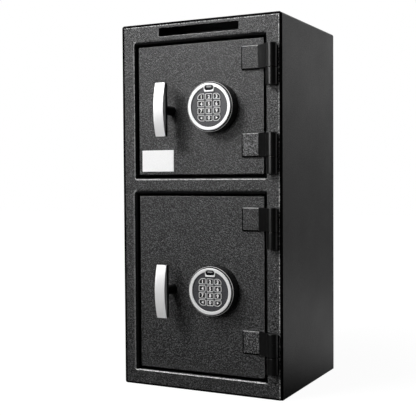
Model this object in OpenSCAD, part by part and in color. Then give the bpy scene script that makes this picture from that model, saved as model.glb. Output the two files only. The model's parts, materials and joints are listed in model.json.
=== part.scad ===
// Deposit safe with two doors, a front drop slot and an electronic keypad lock on each door.
// Millimetres. The origin is the centre of the base, +Z is up and the doors face -Y.

/* [Cabinet] */
// Width of the cabinet across its front
cabinet_w = 350; // [330:5:400]
// Height of the cabinet
cabinet_h = 735; // [720:5:800]
// Depth of the cabinet without its handles and hinges
cabinet_d = 307; // [260:1:400]
// Thickness of the body, base and back plates
shell_t = 3; // [2:0.5:5]
// Radius of the folds along the top edges
fold_r = 5; // [4:0.5:8]
// Radius of the anchor holes in the base
anchor_r = 6.5; // [5:0.5:8]
// Distance between the anchor holes across the base
anchor_x = 230; // [160:5:260]
// Distance between the anchor holes from front to back
anchor_y = 180; // [120:5:200]

/* [Front frame] */
// Thickness of the front plate
front_t = 4; // [3:0.5:5]
// Radius of the rounded edge round the outside of the front plate
front_edge_r = 3; // [2:0.5:3]
// Width of the stile beside the doors
stile_w = 32.5; // [28:0.5:36]
// Height of the rail under the lower door
bottom_rail_h = 31.5; // [26:0.5:44]
// Height of the lower door opening
lower_open_h = 361.5; // [340:0.5:370]
// Height of the rail between the doors
mid_rail_h = 31.5; // [30:0.5:44]
// Height of the rail above the upper door
top_rail_h = 41; // [38:1:50]
// Radius of the rolled edge round a door opening
roll_r = 5; // [3:0.5:6]
// Corner radius of a door opening
open_corner_r = 2; // [1:0.5:4]
// Depth of the return lip round a door opening
lip_depth = 12; // [9:0.5:13]
// Thickness of the return lip
lip_t = 3; // [2:0.5:3]
// Length of the deposit slot
slot_w = 175; // [120:5:200]
// Height of the deposit slot
slot_h = 16.5; // [8:0.5:17]
// Height of the slot's centre above the upper door opening
slot_rise = 21.5; // [20:0.5:24]

/* [Shelf and chute] */
// Thickness of the divider shelf
shelf_t = 3; // [2:0.5:4]
// Thickness of the chute's sheet
chute_t = 1.5; // [1:0.25:2.5]
// Room between the end of the slot and the chute's cheek
chute_side_gap = 5; // [2:0.5:10]
// Step from the slot's foot down to the chute's floor
chute_step = 1; // [0:0.5:2]
// Height of the baffle's foot above the floor's end
baffle_rise = 13; // [8:1:24]
// Fall of the chute's floor over the door's lock cover
chute_fall = 14; // [8:1:16]
// How far the chute's gentle floor runs back
chute_run = 47; // [45:1:60]
// How far the chute's steep floor runs back
chute_steep_run = 36; // [20:1:50]
// Fall of the chute's steep floor
chute_steep_fall = 33; // [20:1:50]
// Gap between the end of the floor and the baffle
chute_mouth = 26; // [15:1:40]
// Length of the baffle's teeth
tooth_l = 10; // [5:1:16]
// Width of one tooth
tooth_w = 11; // [8:1:16]

/* [Doors] */
// Gap between a door and the side of its opening
door_gap = 3.5; // [2.5:0.5:4.5]
// Gap above a door
door_gap_top = 4; // [2.5:0.5:5]
// Gap under a door
door_gap_foot = 5.5; // [2.5:0.5:6]
// Depth of a door's face behind the front plate's face
door_recess = 5; // [2:0.5:6]
// Thickness of the door plate
door_t = 6; // [4:0.5:7]
// Corner radius of the door plate
door_corner_r = 2.5; // [2:0.5:5]
// Radius of the rounded edge round the door's face
door_edge_r = 1.5; // [0.5:0.25:1.75]

/* [Hinges] */
// Distance of the hinge axis in from the cabinet's side
hinge_inset = 15.25; // [13:0.25:16]
// Radius of a hinge barrel
barrel_r = 10.5; // [9.5:0.25:10.75]
// Gap between a barrel and the front plate
barrel_gap = 0.5; // [0.4:0.1:1]
// Length of the door's barrel and strap
door_barrel_l = 45; // [36:1:48]
// Length of the frame's barrel
frame_barrel_l = 32; // [26:1:33]
// Width of the foot that welds a frame barrel to the stile
weld_foot_w = 16; // [10:0.5:20]
// Gap between the two barrels
barrel_step = 0.8; // [0.4:0.1:0.9]
// Radius of a hinge pin
hinge_pin_r = 4.5; // [3.5:0.25:6]
// Running clearance round a shaft or pin
run_gap = 0.06; // [0.03:0.01:0.09]
// Thickness left under and over a pin in its blind bores
pin_seat_t = 3; // [2:0.5:6]
// Width of the pad on the door
pad_w = 36.5; // [28:0.5:40]
// Thickness of the pad and of the strap
strap_t = 5; // [4:0.5:6]
// Corner radius of the pad
pad_corner_r = 2; // [1:0.5:4]
// Distance from the hinge axis to the pad's near edge
pad_inset = 28.75; // [28:0.25:34]
// Angle round the barrel where the strap meets it
strap_angle = 194; // [188:1:200]
// Upper hinge of the upper door, from the door's top to the foot of the strap
hinge_1_drop = 59.5; // [48:0.5:80]
// Lower hinge of the upper door, from the door's foot to the foot of the strap
hinge_2_rise = 34; // [33:0.5:50]
// Upper hinge of the lower door, from the door's top to the foot of the strap
hinge_3_drop = 67; // [48:0.5:90]
// Lower hinge of the lower door, from the door's foot to the foot of the strap
hinge_4_rise = 47.5; // [34:0.5:70]

/* [Handles] */
// Distance of the handle's spindle to the left of the centre line
handle_x = 62; // [56:1:66]
// Height of the upper spindle above the middle of its door
upper_spindle_h = -2; // [-8:0.5:12]
// Height of the lower spindle above the middle of its door
lower_spindle_h = -12; // [-30:0.5:20]
// Length of the grip
grip_l = 105; // [80:1:110]
// Width of the grip
grip_w = 22; // [16:1:26]
// Distance from the door to the grip's front at its middle
grip_reach = 55; // [50:1:60]
// How far the grip's ends bend back towards the door
grip_bow = 9; // [4:0.5:12]
// Thickness of the bright face block at its ends
grip_face_t = 1; // [0.5:0.25:4]
// Depth of the whole grip at its middle, from its front to its flat back
grip_depth = 26; // [24:0.5:30]
// Depth of the narrower part at the grip's back
grip_taper_d = 9; // [4:0.5:10]
// How much each side of the grip draws in towards its back
grip_taper = 3; // [1:0.5:5]
// How far the dark bar stays inside the face block's outline
grip_core_inset = 1; // [0.5:0.5:3]
// Radius of the handle's stem
stem_r = 9; // [8:0.5:11]
// Radius of the steel spindle
spindle_r = 6; // [4:0.5:7]
// How far the spindle reaches into the stem
spindle_seat = 15; // [8:1:25]
// Turn of the handle between unlocked and locked, in degrees
handle_turn = 45; // [30:5:60]

/* [Boltwork] */
// Radius of a live bolt
bolt_r = 12.5; // [9:0.5:12.5]
// Travel of the bolts
bolt_throw = 20; // [14:1:20]
// Depth of the bolts' centre line behind the front plate's face
bolt_depth = 29.5; // [29.5:0.5:32]
// Distance of a withdrawn bolt's tip inside the opening's edge
bolt_tip_gap = 8; // [6:0.5:9]
// Chamfer on a bolt's tip
bolt_chamfer = 1.5; // [0.5:0.5:3]
// Upper bolt of the upper door below the door's top
bolt_1_drop = 63; // [44:1:70]
// Lower bolt of the upper door above the door's foot
bolt_2_rise = 69; // [44:1:70]
// Upper bolt of the lower door below the door's top
bolt_3_drop = 130; // [44:1:135]
// Lower bolt of the lower door above the door's foot
bolt_4_rise = 91; // [44:1:100]
// Thickness of the crank, the bar and its flange
bar_t = 5; // [4:0.5:6]
// Gap between the layers of the boltwork
layer_gap = 1; // [0.5:0.1:1.5]
// Radius of the crank's pin
crank_pin_r = 4; // [3:0.25:5]
// Radius of the crank's hub
crank_hub_r = 10; // [9:0.5:12]
// Radius of the crank's end round its pin
crank_end_r = 7; // [6:0.5:8]
// Clearance of a sliding part on each side
slide_gap = 0.3; // [0.2:0.05:0.5]
// How far the bar runs above and below its bolts
bar_overrun = 16; // [14:1:20]
// Distance of the bar's flange left of the spindle
flange_reach = 36; // [33:0.5:40]
// Width of the bar to the right of the spindle
bar_reach = 18; // [17:0.5:20]

/* [Lock case] */
// Width of the lock case
lock_w = 76; // [60:1:90]
// Height of the lock case
lock_h = 70; // [60:1:90]
// Depth of the lock case
lock_d = 28; // [24:1:31]
// Distance of the lock case to the right of the spindle
lock_x_gap = 26; // [25:0.5:34]
// Distance of the lock case's foot below the spindle
lock_drop = 20; // [18:0.5:26]
// Radius of the lock's plunger
plunger_r = 4; // [3:0.25:4.5]
// Travel of the plunger
plunger_throw = 8; // [5:0.5:9]
// Length of the plunger
plunger_l = 28; // [22:1:40]
// How far the plunger shows below the case when it is drawn in
plunger_show = 0.6; // [0.2:0.1:1]
// Distance of the plunger inside the lock case's left side
plunger_inset = 14; // [12:0.5:17]
// Gap between the lock case and the bar's tail
tail_gap = 2; // [1.5:0.25:4]
// Height of the bar's tail
tail_h = 16; // [12:1:20]
// Clearance of a notch on each side of the plunger
notch_gap = 0.4; // [0.3:0.05:0.6]
// Room under the thrown plunger in its notch
notch_room = 1.4; // [0.5:0.1:2]
// Steel left beyond the last notch
tail_end = 3.6; // [2:0.2:8]

/* [Lock cover] */
// Depth of the lock cover behind the door
cover_d = 36; // [35:0.5:40]
// Thickness of the lock cover's sheet
cover_t = 2; // [1:0.25:2.5]
// Distance of the cover's left side inside the door's edge
cover_left = 8; // [7.5:0.5:10]
// Distance of the cover's right side inside the door's edge
cover_right = 27; // [26:1:40]
// Distance of the cover inside the door's top and foot
cover_inset = 11; // [6:1:16]
// Width of the dead bar behind the hinge side
dead_bar_w = 34; // [26:1:36]
// Thickness of the dead bar
dead_bar_t = 5; // [4:0.5:6]
// Depth of the dead bar's blade behind the door plate
dead_bar_d = 11.5; // [11:0.5:14]
// How far the dead bar reaches past the door's edge
dead_bar_reach = 13; // [8:0.5:14]
// Distance of the dead bar inside the door's top and foot
dead_bar_inset = 20; // [12:1:40]

/* [Keypads] */
// Distance of a keypad to the right of the centre line
keypad_x = 35.5; // [34:0.5:44]
// Height of a keypad's centre above its spindle
keypad_rise = 3; // [0:0.5:4]
// Height of a keypad's ring above the door
keypad_reach = 29; // [27:0.5:36]
// Radius of the bright ring
ring_r = 45.5; // [44:0.5:46]
// Width of the bright ring
ring_w = 6.5; // [6:0.25:7.5]
// Thickness of the bright ring
ring_t = 2; // [1.5:0.25:2.5]
// Radius of the keypad's base at the door
base_r = 49.5; // [48.5:0.25:51]
// How much the base narrows towards its front
base_taper = 2; // [0.5:0.25:2.5]
// How far the cap stays inside the ring's edge
cap_inset = 0.5; // [0.25:0.25:1]
// Depth of the keypad's cap in front of its base
cap_d = 1.75; // [1.5:0.25:8]
// Thickness of the keypad's front wall
face_t = 2.5; // [2:0.25:3]
// Inner radius of the keypad's front room
front_room_r = 37.5; // [36.5:0.25:37.5]
// Inner radius of the keypad's rear room
rear_room_r = 42; // [41:0.25:43]
// Depth from the cap's front to the circuit board
board_depth = 11.5; // [11:0.5:13]
// Thickness of the circuit board
board_t = 1.6; // [1.2:0.2:2]
// Width of the status window
window_w = 17; // [14:0.5:17.5]
// Height of the status window
window_h = 9; // [7:0.5:9.5]
// Height of the window above the keypad's centre
window_rise = 36.4; // [35.5:0.1:36.6]
// Width of the ring's tab round the window
tab_w = 20.5; // [20:0.5:23]
// Height of the tab's foot above the keypad's centre
tab_rise = 28.4; // [27.5:0.1:29]
// Distance between key columns
key_pitch_x = 17; // [16.5:0.1:17.2]
// Distance between key rows
key_pitch_z = 13.8; // [13.6:0.1:14]
// Width of a key
key_w = 15; // [13:0.25:15]
// Height of a key
key_h = 12; // [11:0.25:12]
// Corner radius of a key
key_corner_r = 2; // [1:0.25:3]
// Radius of the circle that rounds the outer keys
key_field_r = 32.5; // [32:0.25:35]
// How far a key stands above the keypad's face
key_proud = 1.4; // [1.1:0.1:1.8]
// Travel of a key
key_travel = 1; // [0.6:0.1:1]
// Gap round a key in its hole
key_gap = 0.35; // [0.3:0.05:0.4]
// Width of the flange that keeps a key in
key_flange = 0.6; // [0.5:0.05:0.65]
// Thickness of that flange
key_flange_t = 1.2; // [0.8:0.1:2]
// Height of the key field's centre below the keypad's centre
key_drop = 1.2; // [0.5:0.1:1.5]
// Radius of the cable hole through the door
cable_r = 6; // [4:0.5:8]

/* [Hidden] */
$fn = 64;
SIDES = ["upper", "lower"];
UPPER = 0;
LOWER = 1;
SHEET_FN = 240;
CUT = 1;

front_y = -cabinet_d / 2;
back_y = cabinet_d / 2;
inner_w = cabinet_w - 2 * shell_t;
open_w = cabinet_w - 2 * stile_w;
open_z = [bottom_rail_h + lower_open_h + mid_rail_h, bottom_rail_h];
open_top = [cabinet_h - top_rail_h, bottom_rail_h + lower_open_h];
slot_z = open_top[UPPER] + slot_rise;
shelf_z = open_top[LOWER] + mid_rail_h / 2;

door_w = open_w - 2 * door_gap;
door_z = [for (d = [UPPER, LOWER]) open_z[d] + door_gap_foot];
door_top = [for (d = [UPPER, LOWER]) open_top[d] - door_gap_top];
door_face_y = front_y + door_recess;
door_back_y = door_face_y + door_t;

hinge_x = cabinet_w / 2 - hinge_inset;
hinge_y = front_y - barrel_gap - barrel_r;
strap_z = [[door_top[UPPER] - hinge_1_drop, door_z[UPPER] + hinge_2_rise],
           [door_top[LOWER] - hinge_3_drop, door_z[LOWER] + hinge_4_rise]];
pad_right = hinge_x - pad_inset;
strap_end = [hinge_x + barrel_r * cos(strap_angle), hinge_y + barrel_r * sin(strap_angle)];
strap_run = strap_end - [pad_right, door_face_y - strap_t];
strap_normal = [-strap_run[1], strap_run[0]] / norm(strap_run);

spindle_z = [(door_z[UPPER] + door_top[UPPER]) / 2 + upper_spindle_h,
             (door_z[LOWER] + door_top[LOWER]) / 2 + lower_spindle_h];
grip_front_y = door_face_y - grip_reach;
grip_back_y = grip_front_y + grip_depth;
grip_seam_y = grip_front_y + grip_bow + grip_face_t;
grip_r = (pow(grip_l / 2, 2) + pow(grip_bow, 2)) / (2 * grip_bow);
stem_foot_y = door_face_y - slide_gap;

crank_angle = handle_turn / 2;
crank_r = bolt_throw / 2 / sin(crank_angle);
crank_y = door_back_y + layer_gap;
bar_y = crank_y + bar_t + layer_gap;
bolt_y = front_y + bolt_depth;
bolt_tip_x = -open_w / 2 + bolt_tip_gap;
flange_x = -handle_x - flange_reach;
bolt_z = [[door_top[UPPER] - bolt_1_drop, door_z[UPPER] + bolt_2_rise],
          [door_top[LOWER] - bolt_3_drop, door_z[LOWER] + bolt_4_rise]];
bar_right = -handle_x + bar_reach;

lock_left = -handle_x + lock_x_gap;
plunger_x = lock_left + plunger_inset;
plunger_y = bar_y + bar_t / 2;
tail_top_drop = lock_drop + tail_gap;
notch_w = 2 * (plunger_r + notch_gap);
notch_h = plunger_throw + plunger_show - tail_gap + notch_room;

cover_x = [-door_w / 2 + cover_left, door_w / 2 - cover_right];
dead_bar_x = door_w / 2 + dead_bar_reach;

cap_y = door_face_y - keypad_reach + ring_t;
base_y = cap_y + cap_d;
board_y = cap_y + board_depth;
key_front_y = cap_y - key_proud;
key_back_y = board_y - key_travel - slide_gap;
cap_r = ring_r - cap_inset;
base_front_r = base_r - base_taper;

// Stands a front view, drawn in X and Y, upright at depth y. Its thickness grows towards the front.
module facing(y) {
    translate([0, y, 0]) rotate([90, 0, 0]) children();
}

// A plate seen from the front, from depth y_front to y_back.
module front_plate(y_front, y_back) {
    facing(y_back) linear_extrude(y_back - y_front) children();
}

module rounded_rect(w, h, r) {
    square([w - 2 * r, h], center = true);
    square([w, h - 2 * r], center = true);
    for (sx = [-1, 1]) for (sy = [-1, 1])
        translate([sx * (w / 2 - r), sy * (h / 2 - r)]) circle(r);
}

// Carries a profile round a rounded rectangle. The profile's x is measured outwards
// from the corners' centres, so the rectangle's own outline is at x = r.
module carried_round(w, h, r) {
    for (turn = [0:3]) {
        run = turn % 2 == 0 ? h : w;
        reach = turn % 2 == 0 ? w : h;
        rotate([0, 0, 90 * turn]) translate([reach / 2 - r, 0, 0]) {
            rotate([90, 0, 0]) linear_extrude(run - 2 * r, center = true) children();
            translate([0, run / 2 - r, 0]) rotate_extrude(angle = 90) children();
        }
    }
}

module quarter_disc(r, turn) {
    rotate(90 * turn) intersection() {
        circle(r);
        square(r);
    }
}

// The profile of an opening's edge: a return lip that rolls over into the plate.
module lip_profile() {
    translate([open_corner_r, 0]) square([lip_t, lip_depth - roll_r]);
    translate([open_corner_r + roll_r, lip_depth - roll_r]) quarter_disc(roll_r, 1);
}

// The profile of the front plate's outer edge.
module outer_profile() {
    square([fold_r - front_edge_r, front_t]);
    square([fold_r, front_t - front_edge_r]);
    translate([fold_r - front_edge_r, front_t - front_edge_r]) quarter_disc(front_edge_r, 0);
}

// The profile of a door's front edge.
module door_edge_profile() {
    square([door_corner_r - door_edge_r, door_edge_r]);
    translate([door_corner_r - door_edge_r, 0]) quarter_disc(door_edge_r, 0);
}

module cabinet_wrap() {
    color("#1d1d1f") translate([0, front_y + front_t, 0]) rotate([90, 0, 0])
        mirror([0, 0, 1]) linear_extrude(cabinet_d - front_t) difference() {
            wrap_outline(cabinet_w, cabinet_h, fold_r);
            translate([0, -CUT]) wrap_outline(inner_w, cabinet_h - shell_t + CUT, fold_r - shell_t);
        }
}

// A rectangle on the X axis with its two upper corners rounded.
module wrap_outline(w, h, r) {
    translate([-w / 2, 0]) square([w, h - r]);
    translate([-w / 2 + r, 0]) square([w - 2 * r, h]);
    for (sx = [-1, 1]) translate([sx * (w / 2 - r), h - r]) circle(r);
}

module base_panel() {
    color("#1d1d1f") difference() {
        translate([-inner_w / 2, front_y + front_t, 0])
            cube([inner_w, cabinet_d - front_t, shell_t]);
        for (sx = [-1, 1]) for (sy = [-1, 1])
            translate([sx * anchor_x / 2, sy * anchor_y / 2, -CUT])
                cylinder(r = anchor_r, h = shell_t + 2 * CUT);
    }
}

module back_panel() {
    color("#1d1d1f") translate([-inner_w / 2, back_y - shell_t, shell_t])
        cube([inner_w, shell_t, cabinet_h - 2 * shell_t]);
}

module front_frame() {
    color("#202022") {
        front_plate(front_y, front_y + front_t) difference() {
            translate([0, cabinet_h / 2])
                square([cabinet_w - 2 * fold_r, cabinet_h - 2 * fold_r], center = true);
            for (d = [UPPER, LOWER]) translate([0, (open_z[d] + open_top[d]) / 2])
                rounded_rect(open_w + 2 * roll_r, open_top[d] - open_z[d] + 2 * roll_r,
                             open_corner_r + roll_r);
            translate([0, slot_z]) square([slot_w, slot_h], center = true);
        }
        facing(front_y + front_t) translate([0, cabinet_h / 2, 0])
            carried_round(cabinet_w, cabinet_h, fold_r) outer_profile();
        for (d = [UPPER, LOWER]) facing(front_y + lip_depth)
            translate([0, (open_z[d] + open_top[d]) / 2, 0])
                carried_round(open_w, open_top[d] - open_z[d], open_corner_r) lip_profile();
    }
}

module divider_shelf() {
    color("#26262a") translate([-inner_w / 2, front_y + lip_depth, shelf_z - shelf_t / 2])
        cube([inner_w, back_y - shell_t - front_y - lip_depth, shelf_t]);
}

// The chute behind the slot: two cheeks, a floor that falls in two steps over the lock
// cover, and a toothed baffle that hangs from the top and stops a hand or a hook.
module deposit_chute() {
    start_y = front_y + front_t;
    start_z = slot_z - slot_h / 2 - chute_step;
    bend = [start_y + chute_run, start_z - chute_fall];
    tip = bend + [chute_steep_run, -chute_steep_fall];
    baffle_y = tip[0] + chute_mouth + chute_t;
    baffle_z = tip[1] + baffle_rise;
    top_z = cabinet_h - shell_t;
    chute_w = slot_w + 2 * chute_side_gap;
    outer_w = chute_w + 2 * chute_t;
    teeth = floor(chute_w / tooth_w);
    drop = [0, -chute_t];
    color("#2c2c30") {
        along_x(outer_w) polygon([[start_y, start_z], bend, tip, tip + drop, bend + drop,
                                  [start_y, start_z] + drop]);
        for (side = [-1, 1]) translate([side * (chute_w + chute_t) / 2, 0, 0])
            along_x(chute_t) polygon([[start_y, top_z], [start_y, start_z - chute_t], bend + drop,
                tip + drop, [baffle_y, baffle_z], [baffle_y, top_z]]);
        translate([0, baffle_y, 0]) rotate([90, 0, 0]) linear_extrude(chute_t) {
            translate([-outer_w / 2, baffle_z]) square([outer_w, top_z - baffle_z]);
            for (i = [0:teeth - 1]) translate([(i + 0.5 - teeth / 2) * tooth_w, baffle_z])
                polygon([[-tooth_w / 2, chute_t], [tooth_w / 2, chute_t], [tooth_w / 2, 0],
                         [0, -tooth_l], [-tooth_w / 2, 0]]);
        }
    }
}

// Extrudes a side view, drawn in Y and Z, to both sides of the centre line.
module along_x(w) {
    rotate([90, 0, 90]) linear_extrude(w, center = true) children();
}

// The two barrels of one hinge stand on one axis: the frame's below and the door's above.
module frame_hinge_barrels() {
    foot = frame_barrel_l + barrel_step;
    color("#17171a") for (pair = strap_z) for (z = pair)
        translate([hinge_x, hinge_y, z - foot]) difference() {
            union() {
                cylinder(r = barrel_r, h = frame_barrel_l);
                translate([-barrel_r, 0, 0])
                    cube([weld_foot_w, barrel_r + barrel_gap, frame_barrel_l]);
            }
            translate([0, 0, pin_seat_t])
                cylinder(r = hinge_pin_r + run_gap, h = frame_barrel_l);
        }
}

module hinge_pins() {
    foot = frame_barrel_l + barrel_step - pin_seat_t;
    color("#9a9a9e") for (pair = strap_z) for (z = pair)
        translate([hinge_x, hinge_y, z - foot])
            cylinder(r = hinge_pin_r, h = foot + door_barrel_l - pin_seat_t - slide_gap);
}

module door_plate(d) {
    h = door_top[d] - door_z[d];
    edge_y = door_face_y + door_edge_r;
    color("#202022") difference() {
        translate([0, 0, door_z[d] + h / 2]) {
            front_plate(edge_y, door_back_y) rounded_rect(door_w, h, door_corner_r);
            front_plate(door_face_y, edge_y)
                square([door_w - 2 * door_corner_r, h - 2 * door_corner_r], center = true);
            facing(edge_y) carried_round(door_w, h, door_corner_r) door_edge_profile();
        }
        front_plate(door_face_y - CUT, door_back_y + CUT) {
            translate([-handle_x, spindle_z[d]]) circle(spindle_r + run_gap);
            translate([keypad_x, spindle_z[d] + keypad_rise]) circle(cable_r);
        }
    }
}

module hinge_straps(d) {
    color("#17171a") for (z = strap_z[d]) {
        translate([pad_right - pad_w / 2, 0, z + door_barrel_l / 2])
            front_plate(door_face_y - strap_t, door_face_y)
                rounded_rect(pad_w, door_barrel_l, pad_corner_r);
        translate([0, 0, z]) difference() {
            union() {
                linear_extrude(door_barrel_l) strap_plan();
                translate([hinge_x, hinge_y, 0]) cylinder(r = barrel_r, h = door_barrel_l);
            }
            translate([hinge_x, hinge_y, -CUT])
                cylinder(r = hinge_pin_r + run_gap, h = door_barrel_l - pin_seat_t + CUT);
        }
    }
}

// The strap seen from above: it leaves the pad's edge and slopes forward to the barrel.
module strap_plan() {
    start = [pad_right, door_face_y - strap_t];
    inner = start + strap_t * strap_normal;
    foot = inner + strap_run * (door_face_y - inner[1]) / strap_run[1];
    polygon([[pad_right - strap_t, door_face_y], [pad_right - strap_t, door_face_y - strap_t],
             start, strap_end, strap_end + strap_t * strap_normal, foot]);
}

module dead_bar(d) {
    h = door_top[d] - door_z[d] - 2 * dead_bar_inset;
    color("#8c8c90") translate([dead_bar_x - dead_bar_w, door_back_y, door_z[d] + dead_bar_inset]) {
        cube([dead_bar_t, dead_bar_d + dead_bar_t, h]);
        translate([0, dead_bar_d, 0]) cube([dead_bar_w, dead_bar_t, h]);
    }
}

module lock_cover(d) {
    z = door_z[d] + cover_inset;
    h = door_top[d] - door_z[d] - 2 * cover_inset;
    w = cover_x[1] - cover_x[0];
    color("#2c2c30") difference() {
        translate([cover_x[0], door_back_y, z]) cube([w, cover_d, h]);
        translate([cover_x[0] + cover_t, door_back_y - CUT, z + cover_t])
            cube([w - 2 * cover_t, cover_d - cover_t + CUT, h - 2 * cover_t]);
        for (hole_z = bolt_z[d]) translate([cover_x[0] - CUT, bolt_y, hole_z])
            rotate([0, 90, 0]) cylinder(r = bolt_r + slide_gap, h = cover_t + 2 * CUT);
    }
}

module lock_case(d) {
    z = spindle_z[d] - lock_drop;
    color("#6f6f73") difference() {
        translate([lock_left, door_back_y, z]) cube([lock_w, lock_d, lock_h]);
        translate([plunger_x, plunger_y, z - CUT])
            cylinder(r = plunger_r + slide_gap, h = plunger_l + CUT);
    }
}

module lock_plunger(d) {
    color("#b9b9bd") translate([plunger_x, plunger_y, spindle_z[d] - lock_drop - plunger_show])
        cylinder(r = plunger_r, h = plunger_l);
}

// An angle: its flange carries the bolts, its web has the crank's slot, and its tail has
// a notch under the plunger for each end of the bolts' travel.
module bolt_bar(d) {
    foot = bolt_z[d][1] - bar_overrun;
    h = bolt_z[d][0] + bar_overrun - foot;
    slot_top = crank_r + crank_pin_r + slide_gap;
    slot_foot = crank_r * cos(crank_angle) - crank_pin_r - slide_gap;
    slot_x = -handle_x + bolt_throw / 2;
    tail_right = plunger_x + bolt_throw + notch_w / 2 + tail_end;
    tail_top = spindle_z[d] - tail_top_drop;
    color("#8c8c90") {
        translate([flange_x, bar_y, foot]) cube([bar_t, bolt_y + bolt_r - bar_y, h]);
        front_plate(bar_y, bar_y + bar_t) difference() {
            union() {
                translate([flange_x, foot]) square([bar_right - flange_x, h]);
                translate([flange_x, tail_top - tail_h]) square([tail_right - flange_x, tail_h]);
            }
            translate([slot_x - crank_pin_r - slide_gap, spindle_z[d] + slot_foot])
                square([2 * (crank_pin_r + slide_gap), slot_top - slot_foot]);
            for (shift = [0, bolt_throw])
                translate([plunger_x + shift - notch_w / 2, tail_top - notch_h])
                    square([notch_w, notch_h + CUT]);
        }
    }
}

module live_bolts(d) {
    color("#c9c9cc") for (z = bolt_z[d]) translate([bolt_tip_x, bolt_y, z]) rotate([0, 90, 0]) {
        cylinder(r1 = bolt_r - bolt_chamfer, r2 = bolt_r, h = bolt_chamfer);
        translate([0, 0, bolt_chamfer])
            cylinder(r = bolt_r, h = flange_x - bolt_tip_x - bolt_chamfer);
    }
}

// The spindle through the door with the crank on its inner end. It stands at the
// unlocked end of its turn.
module crank(d) {
    color("#8c8c90") translate([-handle_x, 0, spindle_z[d]]) {
        front_plate(door_face_y - spindle_seat, crank_y + bar_t) circle(spindle_r);
        rotate([0, crank_angle, 0]) {
            front_plate(crank_y, crank_y + bar_t) {
                circle(crank_hub_r);
                translate([0, crank_r]) circle(crank_end_r);
                translate([-crank_end_r, 0]) square([2 * crank_end_r, crank_r]);
            }
            translate([0, 0, crank_r]) front_plate(crank_y, bar_y + bar_t) circle(crank_pin_r);
        }
    }
}

// The dark bar behind the face block, seen from above: its sides draw in towards the flat back.
module grip_plan() {
    half_w = grip_w / 2 - grip_core_inset;
    polygon([[-half_w, grip_seam_y], [half_w, grip_seam_y],
             [half_w, grip_back_y - grip_taper_d], [half_w - grip_taper, grip_back_y],
             [grip_taper - half_w, grip_back_y], [-half_w, grip_back_y - grip_taper_d]]);
}

module handle(d) {
    color("#17171a") translate([-handle_x, 0, spindle_z[d]]) difference() {
        union() {
            linear_extrude(grip_l - 2 * grip_core_inset, center = true) grip_plan();
            front_plate(grip_back_y - grip_taper_d, stem_foot_y) circle(stem_r);
        }
        front_plate(door_face_y - spindle_seat, stem_foot_y + CUT) circle(spindle_r);
    }
}

// The bright block's front is bowed as part of a cylinder, and its back is flat on the bar.
module handle_face(d) {
    color("#c9c9cc") translate([-handle_x, 0, spindle_z[d]]) intersection() {
        translate([0, grip_front_y + grip_r, 0]) rotate([0, 90, 0])
            cylinder(r = grip_r, h = grip_w, center = true, $fn = SHEET_FN);
        translate([-grip_w / 2 - CUT, grip_front_y - CUT, -grip_l / 2])
            cube([grip_w + 2 * CUT, grip_seam_y - grip_front_y + CUT, grip_l]);
    }
}

module keypad_at(d) {
    translate([keypad_x, 0, spindle_z[d] + keypad_rise]) children();
}

// The oval of the status window, grown by gap: a bar with round ends.
module window_outline(gap) {
    square([window_w - window_h, window_h + 2 * gap], center = true);
    for (side = [-1, 1]) translate([side * (window_w - window_h) / 2, 0])
        circle(window_h / 2 + gap);
}

function key_place(key) = [((key - 1) % 3 - 1) * key_pitch_x,
    (1.5 - floor((key - 1) / 3)) * key_pitch_z - key_drop];

// The outline of one key, grown by gap. A circle round the whole field rounds the outer keys.
module key_outline(key, gap) {
    intersection() {
        translate(key_place(key))
            rounded_rect(key_w + 2 * gap, key_h + 2 * gap, key_corner_r + gap);
        translate([0, -key_drop]) circle(key_field_r + gap, $fn = SHEET_FN);
    }
}

module keypad_housing(d) {
    color("#141416") keypad_at(d) difference() {
        facing(door_face_y) {
            cylinder(r1 = base_r, r2 = base_front_r, h = door_face_y - base_y);
            cylinder(r = cap_r, h = door_face_y - cap_y);
        }
        front_plate(cap_y + face_t, door_face_y + CUT) circle(front_room_r);
        front_plate(board_y, door_face_y + CUT) circle(rear_room_r);
        front_plate(cap_y - CUT, board_y + CUT) translate([0, window_rise])
            window_outline(slide_gap);
        front_plate(cap_y - CUT, cap_y + face_t + CUT)
            for (key = [1:12]) key_outline(key, key_gap);
    }
}

module keypad_ring(d) {
    color("#c9c9cc") keypad_at(d) front_plate(cap_y - ring_t, cap_y) difference() {
        union() {
            difference() {
                circle(ring_r);
                circle(ring_r - ring_w);
            }
            intersection() {
                circle(ring_r);
                translate([-tab_w / 2, tab_rise]) square([tab_w, ring_r]);
            }
        }
        translate([0, window_rise]) window_outline(slide_gap);
    }
}

// The circuit board with the light pipe that ends in the status window.
module keypad_board(d) {
    color("#1f4a2a") keypad_at(d) {
        front_plate(board_y, board_y + board_t) circle(rear_room_r - slide_gap);
        front_plate(cap_y - ring_t / 2, board_y) translate([0, window_rise]) window_outline(0);
    }
}

module keypad_key(d, key) {
    flange_y = cap_y + face_t + slide_gap / 2;
    color("#2a2a2e") keypad_at(d) {
        front_plate(key_front_y, key_back_y) key_outline(key, 0);
        front_plate(flange_y, flange_y + key_flange_t) key_outline(key, key_flange);
    }
}

cabinet_wrap();
base_panel();
back_panel();
front_frame();
divider_shelf();
deposit_chute();
frame_hinge_barrels();
hinge_pins();
for (d = [UPPER, LOWER]) {
    door_plate(d);
    hinge_straps(d);
    dead_bar(d);
    lock_cover(d);
    lock_case(d);
    lock_plunger(d);
    bolt_bar(d);
    live_bolts(d);
    crank(d);
    handle(d);
    handle_face(d);
    keypad_housing(d);
    keypad_ring(d);
    keypad_board(d);
    for (key = [1:12])
        keypad_key(d, key);
}
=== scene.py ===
"""Deposit safe with two doors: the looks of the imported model, in metres, from the frame alone."""

import json
import math

import bmesh
import bpy
import numpy as np
from mathutils import Matrix, Vector
from mathutils.geometry import tessellate_polygon


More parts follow.
